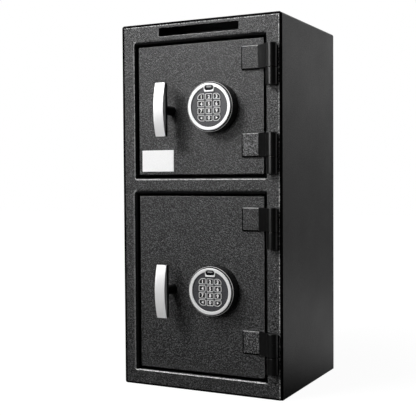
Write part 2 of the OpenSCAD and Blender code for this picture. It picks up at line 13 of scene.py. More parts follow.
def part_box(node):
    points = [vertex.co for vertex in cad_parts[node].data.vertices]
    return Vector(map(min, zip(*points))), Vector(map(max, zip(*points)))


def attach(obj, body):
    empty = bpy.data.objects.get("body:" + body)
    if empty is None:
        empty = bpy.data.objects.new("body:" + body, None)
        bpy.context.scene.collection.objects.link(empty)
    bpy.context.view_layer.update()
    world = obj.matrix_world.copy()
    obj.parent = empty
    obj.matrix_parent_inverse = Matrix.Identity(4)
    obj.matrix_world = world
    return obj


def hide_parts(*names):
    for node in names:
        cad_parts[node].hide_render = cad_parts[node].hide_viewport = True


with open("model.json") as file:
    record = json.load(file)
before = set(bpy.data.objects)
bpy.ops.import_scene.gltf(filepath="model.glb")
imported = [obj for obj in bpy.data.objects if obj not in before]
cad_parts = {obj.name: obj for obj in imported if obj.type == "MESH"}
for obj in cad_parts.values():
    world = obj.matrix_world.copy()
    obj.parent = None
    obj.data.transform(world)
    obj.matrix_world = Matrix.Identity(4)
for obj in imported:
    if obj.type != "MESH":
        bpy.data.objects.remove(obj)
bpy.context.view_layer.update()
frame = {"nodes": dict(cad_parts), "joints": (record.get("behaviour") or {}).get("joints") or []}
nodes = frame["nodes"]
joints = {joint["name"]: joint for joint in frame["joints"]}
SIDES = ("upper", "lower")
MM = 0.001


# Camera
# It stands to the right of the safe, a little over half its height, and looks slightly down.
VIEW_TURN = math.radians(26.819)
VIEW_RISE = math.radians(2.136)
VIEW_ROLL = math.radians(-0.372)
VIEW_PLACE = (0.7721, -1.6404, 0.4272)
FILM = 36.0
LENS = 73.57


def put(name, data):
    """A new object in the scene."""
    item = bpy.data.objects.new(name, data)
    bpy.context.scene.collection.objects.link(item)
    return item


camera = put("camera", bpy.data.cameras.new("camera"))
camera.data.sensor_width = FILM
camera.data.lens = LENS
camera.matrix_world = (Matrix.Translation(VIEW_PLACE) @ Matrix.Rotation(VIEW_TURN, 4, "Z")
                       @ Matrix.Rotation(math.pi / 2 - VIEW_RISE, 4, "X")
                       @ Matrix.Rotation(VIEW_ROLL, 4, "Z"))
bpy.context.scene.camera = camera
bpy.context.scene.view_settings.view_transform = "Standard"


# Studio
# A white floor and surround. Two broad low lamps in front light the doors, two higher ones give the
# coat its sheen at the top, and two weak ones mark the edges at the left and behind. Gloss sees
# white only behind the safe. Each ramp's values are its start and end, then the levels there.
FLOOR_SIZE = 14.0
FLOOR_DROP = 0.0004
PAPER = 0.08
NEAR_WHITE = 0.96
NEAR_REACH = (0.25, 0.9)
DULL_FLOOR = 0.16
FLOOR_BEHIND = (-0.1, 0.5, 0.03, 0.5)
FAR_FLOOR = 0.35
FAR_REACH = (0.6, 2.6)
DIM_SKY = 0.08
SKY_BEHIND = (0.40, 0.80, 0.015, 0.75)
LOW_SKY = 0.35
SKY_RISE = (-0.05, 0.35)
MIX_COLOURS = (6, 7)
MIX_COLOUR_OUT = 2


class NodeTree:
    """Fills one node tree. An input takes a value, a grey level for a colour, a socket, or a node
    for its first output. Inputs that share a name are given in order."""

    def __init__(self, tree):
        self.tree = tree
        tree.nodes.clear()

    def feed(self, socket, value):
        if isinstance(value, bpy.types.Node):
            value = value.outputs[0]
        if isinstance(value, bpy.types.NodeSocket):
            self.tree.links.new(value, socket)
        elif socket.type == "RGBA" and isinstance(value, float):
            socket.default_value = (value, value, value, 1.0)
        else:
            socket.default_value = value

    def add(self, kind, *ordered, settings=(), **named):
        node = self.tree.nodes.new(kind if kind.startswith("NodeGroup") else "ShaderNode" + kind)
        for key, value in dict(settings).items():
            setattr(node, key, value)
        for place, value in enumerate(ordered):
            self.feed(node.inputs[place], value)
        for key, value in named.items():
            self.feed(node.inputs[key.replace("_", " ")], value)
        return node

    def group(self, group, **inputs):
        """The outputs of a node group with its own inputs."""
        return self.add("Group", settings={"node_tree": group}, **inputs).outputs

    def maths(self, operation, *values):
        return self.add("Math", *values, settings={"operation": operation})

    def ramp(self, value, start, end, low=0.0, high=1.0, kind="SMOOTHSTEP"):
        """low up to start and high from end, with a rise between."""
        return self.add("MapRange", settings={"interpolation_type": kind}, Value=value,
                        From_Min=start, From_Max=end, To_Min=low, To_Max=high)

    def blend(self, share, first, second):
        """The colour between two."""
        mix = self.add("Mix", settings={"data_type": "RGBA"}, Factor=share)
        for place, colour in zip(MIX_COLOURS, (first, second)):
            self.feed(mix.inputs[place], colour)
        return mix.outputs[MIX_COLOUR_OUT]

    def surface(self, **inputs):
        """The material's output, a Principled surface."""
        self.add("OutputMaterial", Surface=self.add("BsdfPrincipled", **inputs))


def material(name):
    """A new material, its node tree and its Object coordinates."""
    coat = bpy.data.materials.new(name)
    coat.use_nodes = True
    tree = NodeTree(coat.node_tree)
    return coat, tree, tree.add("TexCoord").outputs["Object"]


def ray_kinds(tree):
    """1 for camera and transmission rays, else 0, and 1 for glossy rays, else 0."""
    path = tree.add("LightPath").outputs
    seen = tree.maths("MAXIMUM", path["Is Camera Ray"], path["Is Transmission Ray"])
    return seen, path["Is Glossy Ray"]


def make_floor():
    """A flat square under the safe. To the eye it is white, with a faint shadow near the safe.
    Gloss sees it pale behind the safe and dark in front."""
    corners = ((-1, -1), (1, -1), (1, 1), (-1, 1))
    mesh = bpy.data.meshes.new("floor")
    mesh.from_pydata([(x * FLOOR_SIZE / 2, y * FLOOR_SIZE / 2, -FLOOR_DROP) for x, y in corners],
                     [], [(0, 1, 2, 3)])
    coat, tree, spot = material("floor white")
    reach = tree.add("VectorMath", settings={"operation": "LENGTH"}, Vector=spot).outputs["Value"]
    glow = tree.add("Emission", Color=1.0, Strength=tree.ramp(reach, *NEAR_REACH, NEAR_WHITE))
    white = tree.add("AddShader", tree.add("BsdfDiffuse", Color=PAPER), glow)
    behind = tree.ramp(tree.add("SeparateXYZ", Vector=spot).outputs["Y"], *FLOOR_BEHIND)
    far = tree.ramp(reach, *FAR_REACH, 1.0, FAR_FLOOR)
    mirrored = tree.add("Emission", Color=1.0, Strength=tree.maths("MULTIPLY", behind, far))
    seen, glossy = ray_kinds(tree)
    hidden = tree.add("MixShader", glossy, tree.add("BsdfDiffuse", Color=DULL_FLOOR), mirrored)
    tree.add("OutputMaterial", Surface=tree.add("MixShader", seen, hidden, white))
    mesh.materials.append(coat)
    put("floor", mesh)


def make_surround():
    """World light: white to the eye, white behind the safe for gloss, and nearly dark otherwise."""
    world = bpy.data.worlds.new("surround")
    world.use_nodes = True
    bpy.context.scene.world = world
    tree = NodeTree(world.node_tree)
    way = tree.add("SeparateXYZ", Vector=tree.add("TexCoord").outputs["Generated"]).outputs
    behind = tree.ramp(way["Y"], *SKY_BEHIND)
    risen = tree.ramp(way["Z"], *SKY_RISE, LOW_SKY)
    seen, glossy = ray_kinds(tree)
    hidden = tree.add("Mix", Factor=glossy, A=DIM_SKY, B=tree.maths("MULTIPLY", behind, risen))
    level = tree.add("Mix", Factor=seen, A=hidden, B=1.0)
    tree.add("OutputWorld", Surface=tree.add("Background", Color=1.0, Strength=level))


def lamp(name, place, target, size, power):
    """A square soft lamp at place that faces target, size across, in watts."""
    light = bpy.data.lights.new(name, "AREA")
    light.size = size
    light.energy = power
    away = Vector(place) - Vector(target)
    put(name, light).matrix_world = (Matrix.Translation(place)
                                     @ away.to_track_quat("Z", "Y").to_matrix().to_4x4())


make_floor()
make_surround()
lamp("low front lamp", (-0.15, -2.10, 0.70), (0.0, -0.15, 0.40), 0.55, 7.8)
lamp("front lamp", (-0.50, -2.05, 0.85), (0.0, -0.15, 0.40), 0.55, 4.9)
lamp("high lamp", (-0.80, -1.45, 1.45), (0.0, -0.15, 0.55), 0.55, 23.5)
lamp("top lamp", (-0.45, -1.00, 1.75), (0.0, -0.15, 0.60), 0.45, 8.0)
lamp("left lamp", (-1.04, -0.37, 0.84), (0.13, -0.16, 0.65), 0.12, 0.25)
lamp("rim lamp", (0.40, 0.75, 0.70), (0.175, 0.0, 0.50), 0.35, 0.05)


# Cabinet wrap
# Sides and top in one piece of three millimetre sheet, folded over the top and welded to the front
# plate, in smooth black paint. A strip along its front edge is painted black as shade.
SHEET_T = 3 * MM
FOLD_R = 5 * MM
SEAM_R = 0.5 * MM
BACK_SEAM_R = 1.0 * MM
WRAP_RIM = 3.2 * MM
SHARP = math.radians(40.0)
GRAIN_SKEW = (0.61, 0.43, 0.27)
NOISE_SPREAD = (0.3, 0.7)
CLOUD_SCALE = 11.0
CLOUD_ROUGH = 0.05
FRONT_VIEW = (0, 2, 1)
TOP_VIEW = (0, 1, 2)


def node_group(name, inputs, outputs):
    """A shader node group with named sockets, its tree and the outputs of its input node."""
    group = bpy.data.node_groups.new(name, "ShaderNodeTree")
    for way, sockets in (("INPUT", inputs), ("OUTPUT", outputs)):
        for label, kind in sockets.items():
            group.interface.new_socket(label, in_out=way, socket_type="NodeSocket" + kind)
    tree = NodeTree(group)
    return group, tree, tree.add("NodeGroupInput").outputs


def grain_group():
    """Grain of a sprayed coat: a fine noise picks pale specks out of the base colour, and a slow
    noise clouds the whole by a few parts in a hundred. Height is the fine noise."""
    group, tree, given = node_group(
        "coat grain", {"Vector": "Vector", "Grain": "Float", "Base": "Color", "Speck": "Color",
                       "Low": "Float", "High": "Float", "Cloud": "Float"},
        {"Color": "Color", "Height": "Float", "Cloudy": "Float"})
    skewed = tree.add("VectorRotate", settings={"rotation_type": "EULER_XYZ"},
                      Vector=given["Vector"], Rotation=GRAIN_SKEW)
    fine = tree.add("TexNoise", Vector=skewed, Scale=given["Grain"], Detail=2.5, Roughness=0.62)
    specks = tree.ramp(fine, given["Low"], given["High"], kind="LINEAR")
    slow = tree.add("TexNoise", Vector=skewed, Scale=CLOUD_SCALE, Detail=2.0, Roughness=0.5)
    cloud = tree.ramp(slow, *NOISE_SPREAD, given["Cloud"], kind="LINEAR")
    shade = tree.add("VectorMath", settings={"operation": "SCALE"}, Scale=cloud,
                     Vector=tree.blend(specks, given["Base"], given["Speck"]))
    tree.add("NodeGroupOutput", Color=shade, Height=fine, Cloudy=cloud)
    return group


COAT_GRAIN = grain_group()


def grey(level, blue):
    """A slightly bluer grey as a colour."""
    return (level, level, level * (1.0 + blue), 1.0)


def sprayed_coat(name, base, speck, grain, low, high, cloud, roughness, bump_height=0.0,
                 bump_strength=0.0, gloss=0.5):
    """A sprayed or moulded finish: grain in colour and relief, with a roughness that is a little
    higher in the clouds. Without relief the roughness is even. gloss is the specular level."""
    coat, tree, spot = material(name)
    marks = tree.group(COAT_GRAIN, Vector=spot, Grain=grain, Base=base, Speck=speck, Low=low,
                       High=high, Cloud=cloud)
    relief = {}
    if bump_height:
        roughness = tree.ramp(marks["Cloudy"], cloud, 1.0, roughness + CLOUD_ROUGH, roughness,
                              "LINEAR")
        relief["Normal"] = tree.add("Bump", Strength=bump_strength, Distance=bump_height,
                                    Height=marks["Height"])
    tree.surface(Base_Color=marks["Color"], Roughness=roughness, Specular_IOR_Level=gloss, **relief)
    return coat


def packed_box(name):
    """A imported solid's low and high corner, its size and its middle, as arrays."""
    low, high = np.array(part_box(name))
    return low, high, high - low, (low + high) / 2


def dress(name, coat):
    """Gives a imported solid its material."""
    mesh = nodes[name].data
    mesh.materials.clear()
    mesh.materials.append(coat)


def shade_flat_faces(piece):
    """Keeps flat faces flat beside rounded edges, and sharp edges sharp."""
    piece.data.set_sharp_from_angle(angle=SHARP)
    piece.modifiers.new("flat faces", "WEIGHTED_NORMAL").keep_sharp = True


def solid(name, form, body, coat, replaced=""):
    """Puts a closed surface into the scene, with its doubles merged and its faces pointing out."""
    mesh = bpy.data.meshes.new(name)
    mesh.from_pydata(form[0], [], form[1])
    work = bmesh.new()
    work.from_mesh(mesh)
    bmesh.ops.remove_doubles(work, verts=work.verts, dist=1e-7)
    bmesh.ops.recalc_face_normals(work, faces=work.faces)
    work.to_mesh(mesh)
    work.free()
    mesh.polygons.foreach_set("use_smooth", np.ones(len(mesh.polygons), bool))
    mesh.materials.append(coat)
    piece = put(name, mesh)
    shade_flat_faces(piece)
    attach(piece, body)
    if replaced:
        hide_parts(replaced)
    return piece


def recoat(piece, coat, chosen):
    """Gives another coat to the faces that chosen picks: it gets the coordinates of their centres
    and then those of their normals."""
    faces = piece.data.polygons
    centres, normals = np.empty((2, len(faces), 3), np.float32)
    faces.foreach_get("center", centres.ravel())
    faces.foreach_get("normal", normals.ravel())
    index = np.empty(len(faces), np.int32)
    faces.foreach_get("material_index", index)
    index[chosen(*centres.T, *normals.T)] = len(piece.data.materials)
    piece.data.materials.append(coat)
    faces.foreach_set("material_index", index)


def strips(rows, count, start=0, wrap=False):
    """Quads between each ring of count points and the next; with wrap the last meets the first."""
    ring = np.arange(rows if wrap else rows - 1)[:, None]
    along = np.arange(count)[None, :]
    ahead = (along + 1) % count
    below = (ring + 1) % rows
    quads = np.stack((ring * count + along, ring * count + ahead,
                      below * count + ahead, below * count + along), axis=-1)
    return (quads.reshape(-1, 4) + start).tolist()


def joined(*forms):
    """Several forms as one set of points and faces."""
    points, faces, start = [], [], 0
    for form_points, form_faces in forms:
        points.append(form_points)
        faces += [[corner + start for corner in face] for face in form_faces]
        start += len(form_points)
    return np.concatenate(points), faces


def rounding(r, steps=5):
    """A quarter round as (inset, depth) pairs, from the face's edge out to the side: inset is
    r - r sin(turn) and depth is r - r cos(turn)."""
    turn = np.linspace(0.0, np.pi / 2, steps)
    return np.column_stack((r - r * np.sin(turn), r - r * np.cos(turn)))


def profile(*parts):
    """Pieces of an edge's profile, each an array or one (inset, depth) pair, in a row."""
    return np.concatenate([np.atleast_2d(part) for part in parts])


def ending(r, depth, steps=4):
    """A quarter round that ends at that depth, from the side back to the last face."""
    return rounding(r, steps)[::-1] * (1, -1) + (0.0, depth)


def edged(thickness, r, both=True):
    """Steps of a plate of that thickness with rounded edges on its first face, and on its last."""
    return profile(rounding(r, 4), ending(r, thickness) if both else (0.0, thickness))


def rounded_outline(w, h, r, steps=6, centre=(0.0, 0.0)):
    """A rounded rectangle, anticlockwise: each corner's centre plus r times the cosine and sine
    of its quarter turn."""
    turn = np.linspace(0.0, np.pi / 2, steps + 1)
    corners = ((1, 1), (-1, 1), (-1, -1), (1, -1))
    return np.concatenate([
        np.column_stack((sx * (w / 2 - r) + r * np.cos(turn + quarter * np.pi / 2),
                         sy * (h / 2 - r) + r * np.sin(turn + quarter * np.pi / 2)))
        for quarter, (sx, sy) in enumerate(corners)]) + centre


def arc(r, start, end, count, centre=(0.0, 0.0)):
    """Points of an arc from one angle to another."""
    turn = np.linspace(start, end, count)
    return np.column_stack((centre[0] + r * np.cos(turn), centre[1] + r * np.sin(turn)))


def circle(r, count, centre=(0.0, 0.0)):
    """Points once round a circle, anticlockwise."""
    return arc(r, 0.0, 2 * math.pi, count + 1, centre)[:-1]


def mitres(outline):
    """For each point of an outline the mitre of its two edges' inward normals."""
    ahead = np.roll(outline, -1, axis=0) - outline
    ahead = ahead / np.linalg.norm(ahead, axis=1, keepdims=True)
    behind = np.roll(ahead, 1, axis=0)
    left = np.column_stack((-ahead[:, 1], ahead[:, 0]))
    left_behind = np.column_stack((-behind[:, 1], behind[:, 0]))
    return (left + left_behind) / (1.0 + np.sum(left * left_behind, axis=1, keepdims=True))


def shrunk(outline, inset):
    """An outline moved inwards by inset, one value or one for each point. A hole runs clockwise,
    so it widens."""
    return outline + np.reshape(inset, (-1, 1)) * mitres(outline)


def plate(loops, steps, place=(0.0, 0.0, 0.0), view=FRONT_VIEW):
    """A plate from its outlines: loops[0] is its edge and the rest, clockwise, are its holes.
    steps are (inset, depth) pairs from the first face round the side to the last, one array for
    all loops or a list of one for each. view gives the axes of the outline's two coordinates and
    of the depth."""
    each = steps if isinstance(steps, list) else [steps] * len(loops)
    points, faces, first, last, start = [], [], [], [], 0
    for loop, own in zip(loops, each):
        count = len(loop)
        rings = np.stack([np.column_stack((shrunk(loop, inset), np.full(count, depth)))
                          for inset, depth in own])
        points.append(rings.reshape(-1, 3))
        faces += strips(len(own), count, start)
        first.append(start + np.arange(count))
        last.append(start + (len(own) - 1) * count + np.arange(count))
        start += len(own) * count
    points = np.concatenate(points)
    for edge in (first, last):
        index = np.concatenate(edge)
        flat = tessellate_polygon([[(x, y, 0.0) for x, y in points[ring, :2]] for ring in edge])
        faces += [[int(index[corner]) for corner in corners] for corners in flat]
    turned_points = np.empty_like(points)
    turned_points[:, list(view)] = points
    return turned_points + place, faces


def wrap_outline(w, h):
    """The wrap from the front: up the right side, over the top, down the left and back inside."""
    def corner(sign, r):
        start = 0.0 if sign > 0 else math.pi / 2
        return arc(r, start, start + math.pi / 2, 7, (sign * (w / 2 - FOLD_R), h - FOLD_R))

    inner_r = FOLD_R - SHEET_T
    return np.concatenate(([(w / 2, 0.0)], corner(1, FOLD_R), corner(-1, FOLD_R),
                           [(-w / 2, 0.0), (-w / 2 + SHEET_T, 0.0)], corner(-1, inner_r)[::-1],
                           corner(1, inner_r)[::-1], [(w / 2 - SHEET_T, 0.0)]))


SIDE_COAT = sprayed_coat("side coat", 0.010, 0.052, 420.0, 0.45, 0.60, 0.75, 0.36, 0.0012, 0.55)
wrap_low, _, wrap_size, _ = packed_box("cabinet_wrap")
wrap = plate([wrap_outline(wrap_size[0], wrap_size[2])],
             profile(rounding(SEAM_R), (0.0, WRAP_RIM), ending(BACK_SEAM_R, wrap_size[1])),
             (0.0, wrap_low[1], 0.0))
wrap_piece = solid("cabinet_wrap_folded", wrap, "cabinet", SIDE_COAT, "cabinet_wrap")


# Base and back
# Plates welded in flush. A bead of weld fills the groove round the back plate.
BEAD_R = 0.85 * MM
BEAD_RIPPLE = 0.12 * MM
BEAD_PITCH = 3.2 * MM
BEAD_SECTION = 8


def bead(outline, depth):
    """A weld bead along a closed outline at that depth: a small tube whose radius ripples by the
    sine of the distance run."""
    ahead = np.roll(outline, -1, axis=0) - outline
    length = np.linalg.norm(ahead, axis=1)
    counts = np.maximum(1, np.round(length / (BEAD_PITCH / 4)).astype(int))
    share = np.concatenate([np.arange(count) / count for count in counts])
    index = np.repeat(np.arange(len(outline)), counts)
    path = outline[index] + ahead[index] * share[:, None]
    step = np.roll(path, -1, axis=0) - np.roll(path, 1, axis=0)
    run = np.concatenate(([0.0], np.cumsum(np.linalg.norm(np.diff(path, axis=0), axis=1))))
    side = np.column_stack((step[:, 1], -step[:, 0])) / np.linalg.norm(step, axis=1, keepdims=True)
    r = BEAD_R + BEAD_RIPPLE * np.sin(2 * np.pi * run / BEAD_PITCH)
    turn = np.linspace(0.0, 2 * np.pi, BEAD_SECTION, endpoint=False)
    across = r[:, None] * np.cos(turn)
    xz = path[:, None, :] + side[:, None, :] * across[:, :, None]
    y = depth + r[:, None] * np.sin(turn)
    points = np.stack((xz[:, :, 0], y, xz[:, :, 1]), axis=-1).reshape(-1, 3)
    return points, strips(len(path), BEAD_SECTION, wrap=True)


back_low, back_high, back_size, back_middle = packed_box("back_panel")
back_outline = rounded_outline(back_size[0], back_size[2], 0.5 * MM, 2, (0.0, back_middle[2]))
back = plate([back_outline], profile(rounding(SEAM_R), ending(BACK_SEAM_R, back_size[1])),
             (0.0, back_low[1], 0.0))
solid("back_panel_welded", back, "cabinet", SIDE_COAT, "back_panel")
solid("back_weld", bead(back_outline, back_high[1] - BEAD_R - BEAD_RIPPLE), "cabinet", SIDE_COAT)
dress("base_panel", SIDE_COAT)


# Front frame
# Pressed from four millimetre plate. Its edges are rolled in round both doorways and rounded off
# outside. The face has a coarse black powder coat with fine pale specks. Where the rolls and the
# right and top outer edges begin it is worn and painted pale as a highlight, and round the outer
# edge and further round the rolls it is painted near black as shade.
ROLL_R = 5 * MM
OUTER_R = 3 * MM
FRONT_T = 4 * MM
LIP_DEPTH = 12 * MM
LIP_T = 3 * MM
LIP_EDGE = 0.5 * MM
OPENING_CORNER_R = 2 * MM
OPENING_W = 285 * MM
OPENINGS = ((31.5 * MM, 393 * MM), (424.5 * MM, 694 * MM))
SLOT_W = 175 * MM
SLOT_H = 16.5 * MM
SLOT_Z = 715.5 * MM
SLOT_EDGE = 0.9 * MM
SLOT_CORNER_R = 0.8 * MM
RIM_W = {"left": 6.0 * MM, "right": 3.5 * MM, "top": 4.9 * MM, "foot": 4.4 * MM}
# a band of wear and painted highlight where the edges begin
WEAR_HIGHLIGHT_W = 1.6 * MM
WEAR_HIGHLIGHT_SIDES = {"left": 0.0, "right": WEAR_HIGHLIGHT_W, "top": WEAR_HIGHLIGHT_W, "foot": 0.0}
ROLLS = ({"left": 1.9, "right": 0.8, "top": 1.9, "foot": 0.4},
         {"left": 1.1, "right": 0.8, "top": 1.65, "foot": 1.0})
ROLL_SPAN = 10 * MM
HOLE, RIM = 1.0, -1.0
FLAT_FADE = (0.45 * MM, 1.4 * MM)
WEAR_HIGHLIGHT_START = (0.01 * MM, 0.08 * MM)
WEAR_HIGHLIGHT_TILT = (0.0, 0.04)
RIGHT_WEAR_HIGHLIGHT = 0.45
PATCH_SCALE = 220.0
PATCH_SPREAD = (0.40, 0.55, 0.25)
# painted shade: the near black colour of the pressed edges past their start
SHADED_EDGE_GREY = 0.006


def edge_group():
    """How deep a point lies behind a pressed face at depth Face along Y. Flat is 1 on the face and
    falls to 0 round the edge. The other mask is a narrow patchy band where the edge begins, partly
    wear and partly a painted highlight: 1 on edges that face up and half as strong on those that
    face right, as the light falls."""
    group, tree, given = node_group(
        "pressed edge", {"Vector": "Vector", "Normal": "Vector", "Face": "Float"},
        {"Flat": "Float", "Worn": "Float"})
    spot = tree.add("SeparateXYZ", Vector=given["Vector"]).outputs
    depth = tree.maths("SUBTRACT", spot["Y"], given["Face"])
    flat = tree.ramp(depth, *FLAT_FADE, 1.0, 0.0)
    begin = tree.ramp(depth, *WEAR_HIGHLIGHT_START)
    facing = tree.add("SeparateXYZ", Vector=given["Normal"]).outputs
    rubbed_or_lit = tree.maths("MAXIMUM", tree.ramp(facing["Z"], *WEAR_HIGHLIGHT_TILT),
                        tree.ramp(facing["X"], *WEAR_HIGHLIGHT_TILT, 0.0, RIGHT_WEAR_HIGHLIGHT))
    patch = tree.add("TexNoise", Vector=given["Vector"], Scale=PATCH_SCALE, Detail=3.0,
                     Roughness=0.7)
    patchy = tree.ramp(patch, *PATCH_SPREAD, kind="LINEAR")
    wear_highlight = tree.maths("MULTIPLY", tree.maths("MULTIPLY", begin, flat),
                      tree.maths("MULTIPLY", rubbed_or_lit, patchy))
    tree.add("NodeGroupOutput", Flat=flat, Worn=wear_highlight)
    return group


PRESSED_EDGE = edge_group()


def pressed_edge(tree, spot, face_y):
    """The masks of a face at depth face_y: Flat, and the band of wear and painted highlight."""
    return tree.group(PRESSED_EDGE, Vector=spot, Normal=tree.add("TexCoord").outputs["Normal"],
                      Face=float(face_y))


def front_coat(name, face_y, wear_highlight_grey, speck=0.081):
    """Coarse black powder coat with specks of grey speck, on a face at depth face_y. Where the
    face's edge begins it is worn and painted pale towards the grey given as a highlight, and
    further round the edge it runs smooth and is painted near black as shade."""
    coat, tree, spot = material(name)
    grain = tree.group(COAT_GRAIN, Vector=spot, Grain=400.0, Base=grey(0.002, 0.03),
                       Speck=grey(speck, 0.02), Low=0.505, High=0.585, Cloud=0.78)
    edge = pressed_edge(tree, spot, face_y)
    # painted shade round the edge, then the band of wear and painted highlight where it begins
    body = tree.blend(edge["Flat"], SHADED_EDGE_GREY, grain["Color"])
    relief = tree.maths("MULTIPLY", grain["Height"], edge["Flat"])
    tree.surface(Base_Color=tree.blend(edge["Worn"], body, wear_highlight_grey),
                 Roughness=tree.ramp(edge["Flat"], 0.0, 1.0, 0.34, 0.36, "LINEAR"),
                 Normal=tree.add("Bump", Strength=0.9, Distance=0.0018, Height=relief))
    return coat


def by_side(outline, values, kind):
    """For each point of an outline, a HOLE's or an outer RIM's, the value of its side. It is
    blended round the corners by the squares of the mitre's parts."""
    x, z = kind * mitres(outline).T
    share = {"right": np.clip(x, 0, 1) ** 2, "left": np.clip(-x, 0, 1) ** 2,
             "top": np.clip(z, 0, 1) ** 2, "foot": np.clip(-z, 0, 1) ** 2}
    return sum(values[side] * share[side] for side in share) / sum(share.values())


def front_form():
    """The pressed plate: its outer edge is rounded off, each doorway rolls over into a lip of
    sheet, by a different roll on each side, and the slot is cut straight through."""
    h = front_high[2]
    outer = rounded_outline(front_size[0], h, FOLD_R, 7, (0.0, h / 2))
    rim = by_side(outer, RIM_W, RIM)
    outer_steps = [(rim + by_side(outer, WEAR_HIGHLIGHT_SIDES, RIM), 0.0), (rim, 0.0),
                   *profile(rounding(OUTER_R, 9), ending(SEAM_R, FRONT_T))]
    lip = profile(ending(LIP_EDGE, LIP_DEPTH), (LIP_T, LIP_DEPTH) - rounding(LIP_EDGE, 4),
                  (LIP_T, FRONT_T + 1.5 * MM), (LIP_T + 0.4 * MM, FRONT_T + 0.5 * MM),
                  (LIP_T + 2.0 * MM, FRONT_T))
    doorways, lips = [], []
    for (foot, top), roll in zip(OPENINGS, ROLLS):
        doorway = rounded_outline(OPENING_W, top - foot, OPENING_CORNER_R, 8,
                                  (0.0, (top + foot) / 2))[::-1]
        stretch = by_side(doorway, roll, HOLE)
        doorways.append(doorway)
        lips.append([(inset * stretch, depth) for inset, depth in rounding(ROLL_R, 12)] + [*lip])
    slot = rounded_outline(SLOT_W, SLOT_H, SLOT_CORNER_R, 3, (0.0, SLOT_Z))[::-1]
    return plate([outer, *doorways, slot], [outer_steps, *lips, edged(FRONT_T, SLOT_EDGE)],
                 (0.0, front_y, 0.0))


def frame_rim(x, y, z, nx, ny, nz):
    """The frame's outer edge, and the doorways' upright rolls but for their start on the left: the
    faces painted black as shade.
    """
    depth = y - front_y
    edge = ((x > front_high[0] - RIM_W["right"]) | (x < RIM_W["left"] - front_high[0])
            | (z < RIM_W["foot"]) | (z > front_high[2] - RIM_W["top"]))
    return edge | (np.abs(x) < OPENING_W / 2 + ROLL_SPAN) & (
        (nx < -0.2) & (depth > 0.03 * MM) | (nx > 0.2) & (depth > 0.4 * MM))


def wear_highlight_strip(x, y, z, nx, ny, nz):
    """A narrow strip of the face beside the right and top outer edges, worn and painted pale as a
    highlight.
    """
    reach = np.minimum(front_high[0] - x - RIM_W["right"], front_high[2] - z - RIM_W["top"])
    return (reach > 0) & (reach < WEAR_HIGHLIGHT_W) & (y - front_y < 0.01 * MM)


def lower_left_roll(x, y, z, nx, ny, nz):
    """The left roll of the lower doorway, whose painted highlight is kept fainter than the others'
    as painted shade.
    """
    past = -OPENING_W / 2 - x
    return (nx > 0.05) & (nx < 0.98) & (past > 0) & (past < ROLL_SPAN) & (z < OPENINGS[0][1])


def lower_foot_roll(x, y, z, nx, ny, nz):
    """The foot of the lower doorway, where its roll faces up: painted pale as a highlight."""
    below = OPENINGS[0][0] - z
    return (nz > 0.1) & (ny < -0.2) & (below > -0.1 * MM) & (below < 3.0 * MM)


# painted shade: a dull black coat for edges and strips that stand in shade
PAINTED_SHADE_BLACK = sprayed_coat("painted shade black", 0.003, 0.008, 500.0, 0.45, 0.7, 0.8, 0.6, gloss=0.0)
# wear and painted highlight: a pale coat for the strip beside the outer edges
WEAR_HIGHLIGHT_EDGE = sprayed_coat("worn edge painted pale", 0.05, 0.56, 330.0, 0.46, 0.60, 0.8, 0.40, 0.0008, 0.4)
# painted highlight: a pale coat for the up-facing foot roll of the lower doorway
PAINTED_HIGHLIGHT_EDGE = sprayed_coat("painted highlight edge", 0.30, 0.90, 330.0, 0.42, 0.58, 0.8, 0.40, 0.0008, 0.4)
(_, front_y, _), front_high, front_size, _ = packed_box("front_frame")
FRAME_COAT = front_coat("frame coat", front_y, 0.50)
# painted shade: a copy of the frame coat with a fainter painted highlight
SHADED_COAT = front_coat("shaded frame coat", front_y, 0.22)
front_frame = solid("front_frame_pressed", front_form(), "cabinet", FRAME_COAT,
                    "front_frame")
recoat(front_frame, SHADED_COAT, lower_left_roll)
# painted highlight on the lower doorway's foot roll
recoat(front_frame, PAINTED_HIGHLIGHT_EDGE, lower_foot_roll)
# painted shade on the frame's outer edge and the doorways' upright rolls
recoat(front_frame, PAINTED_SHADE_BLACK, frame_rim)
# wear and painted highlight beside the right and top outer edges
recoat(front_frame, WEAR_HIGHLIGHT_EDGE, wear_highlight_strip)
# painted shade: the wrap's front strip in the black shade coat
recoat(wrap_piece, PAINTED_SHADE_BLACK, lambda x, y, *rest: y < wrap_low[1] + WRAP_RIM)


# Divider shelf and chute
# Plain sheet in satin black, seen through the slot and when a door stands open.
INNER_COAT = sprayed_coat("inner coat", grey(0.020, 0.05), grey(0.036, 0.05), 500.0, 0.45, 0.7,
                          0.8, 0.48, 0.0004, 0.2)
for name in ("divider_shelf", "deposit_chute"):
    dress(name, INNER_COAT)


# Hinge barrels and pins
# Each hinge is a pair of turned barrels on a steel pin. The lower barrel is welded to the stile
# by a square foot.
BARREL_R = 10.5 * MM
BARREL_CHAMFER = 0.8 * MM
FRAME_BARREL_L = 32 * MM
WELD_FOOT_W = 16 * MM
WELD_FOOT_EDGE = 0.6 * MM
WELD_FOOT_R = 1.2 * MM
STRAP_FEET = {"upper": (630.5 * MM, 464 * MM), "lower": (322 * MM, 84.5 * MM)}
BARREL_STEP = 0.8 * MM
TURNED_SEGMENTS = 96
hinge_axis = np.array(joints["upper_door_hinge"]["pos_m"][:2])


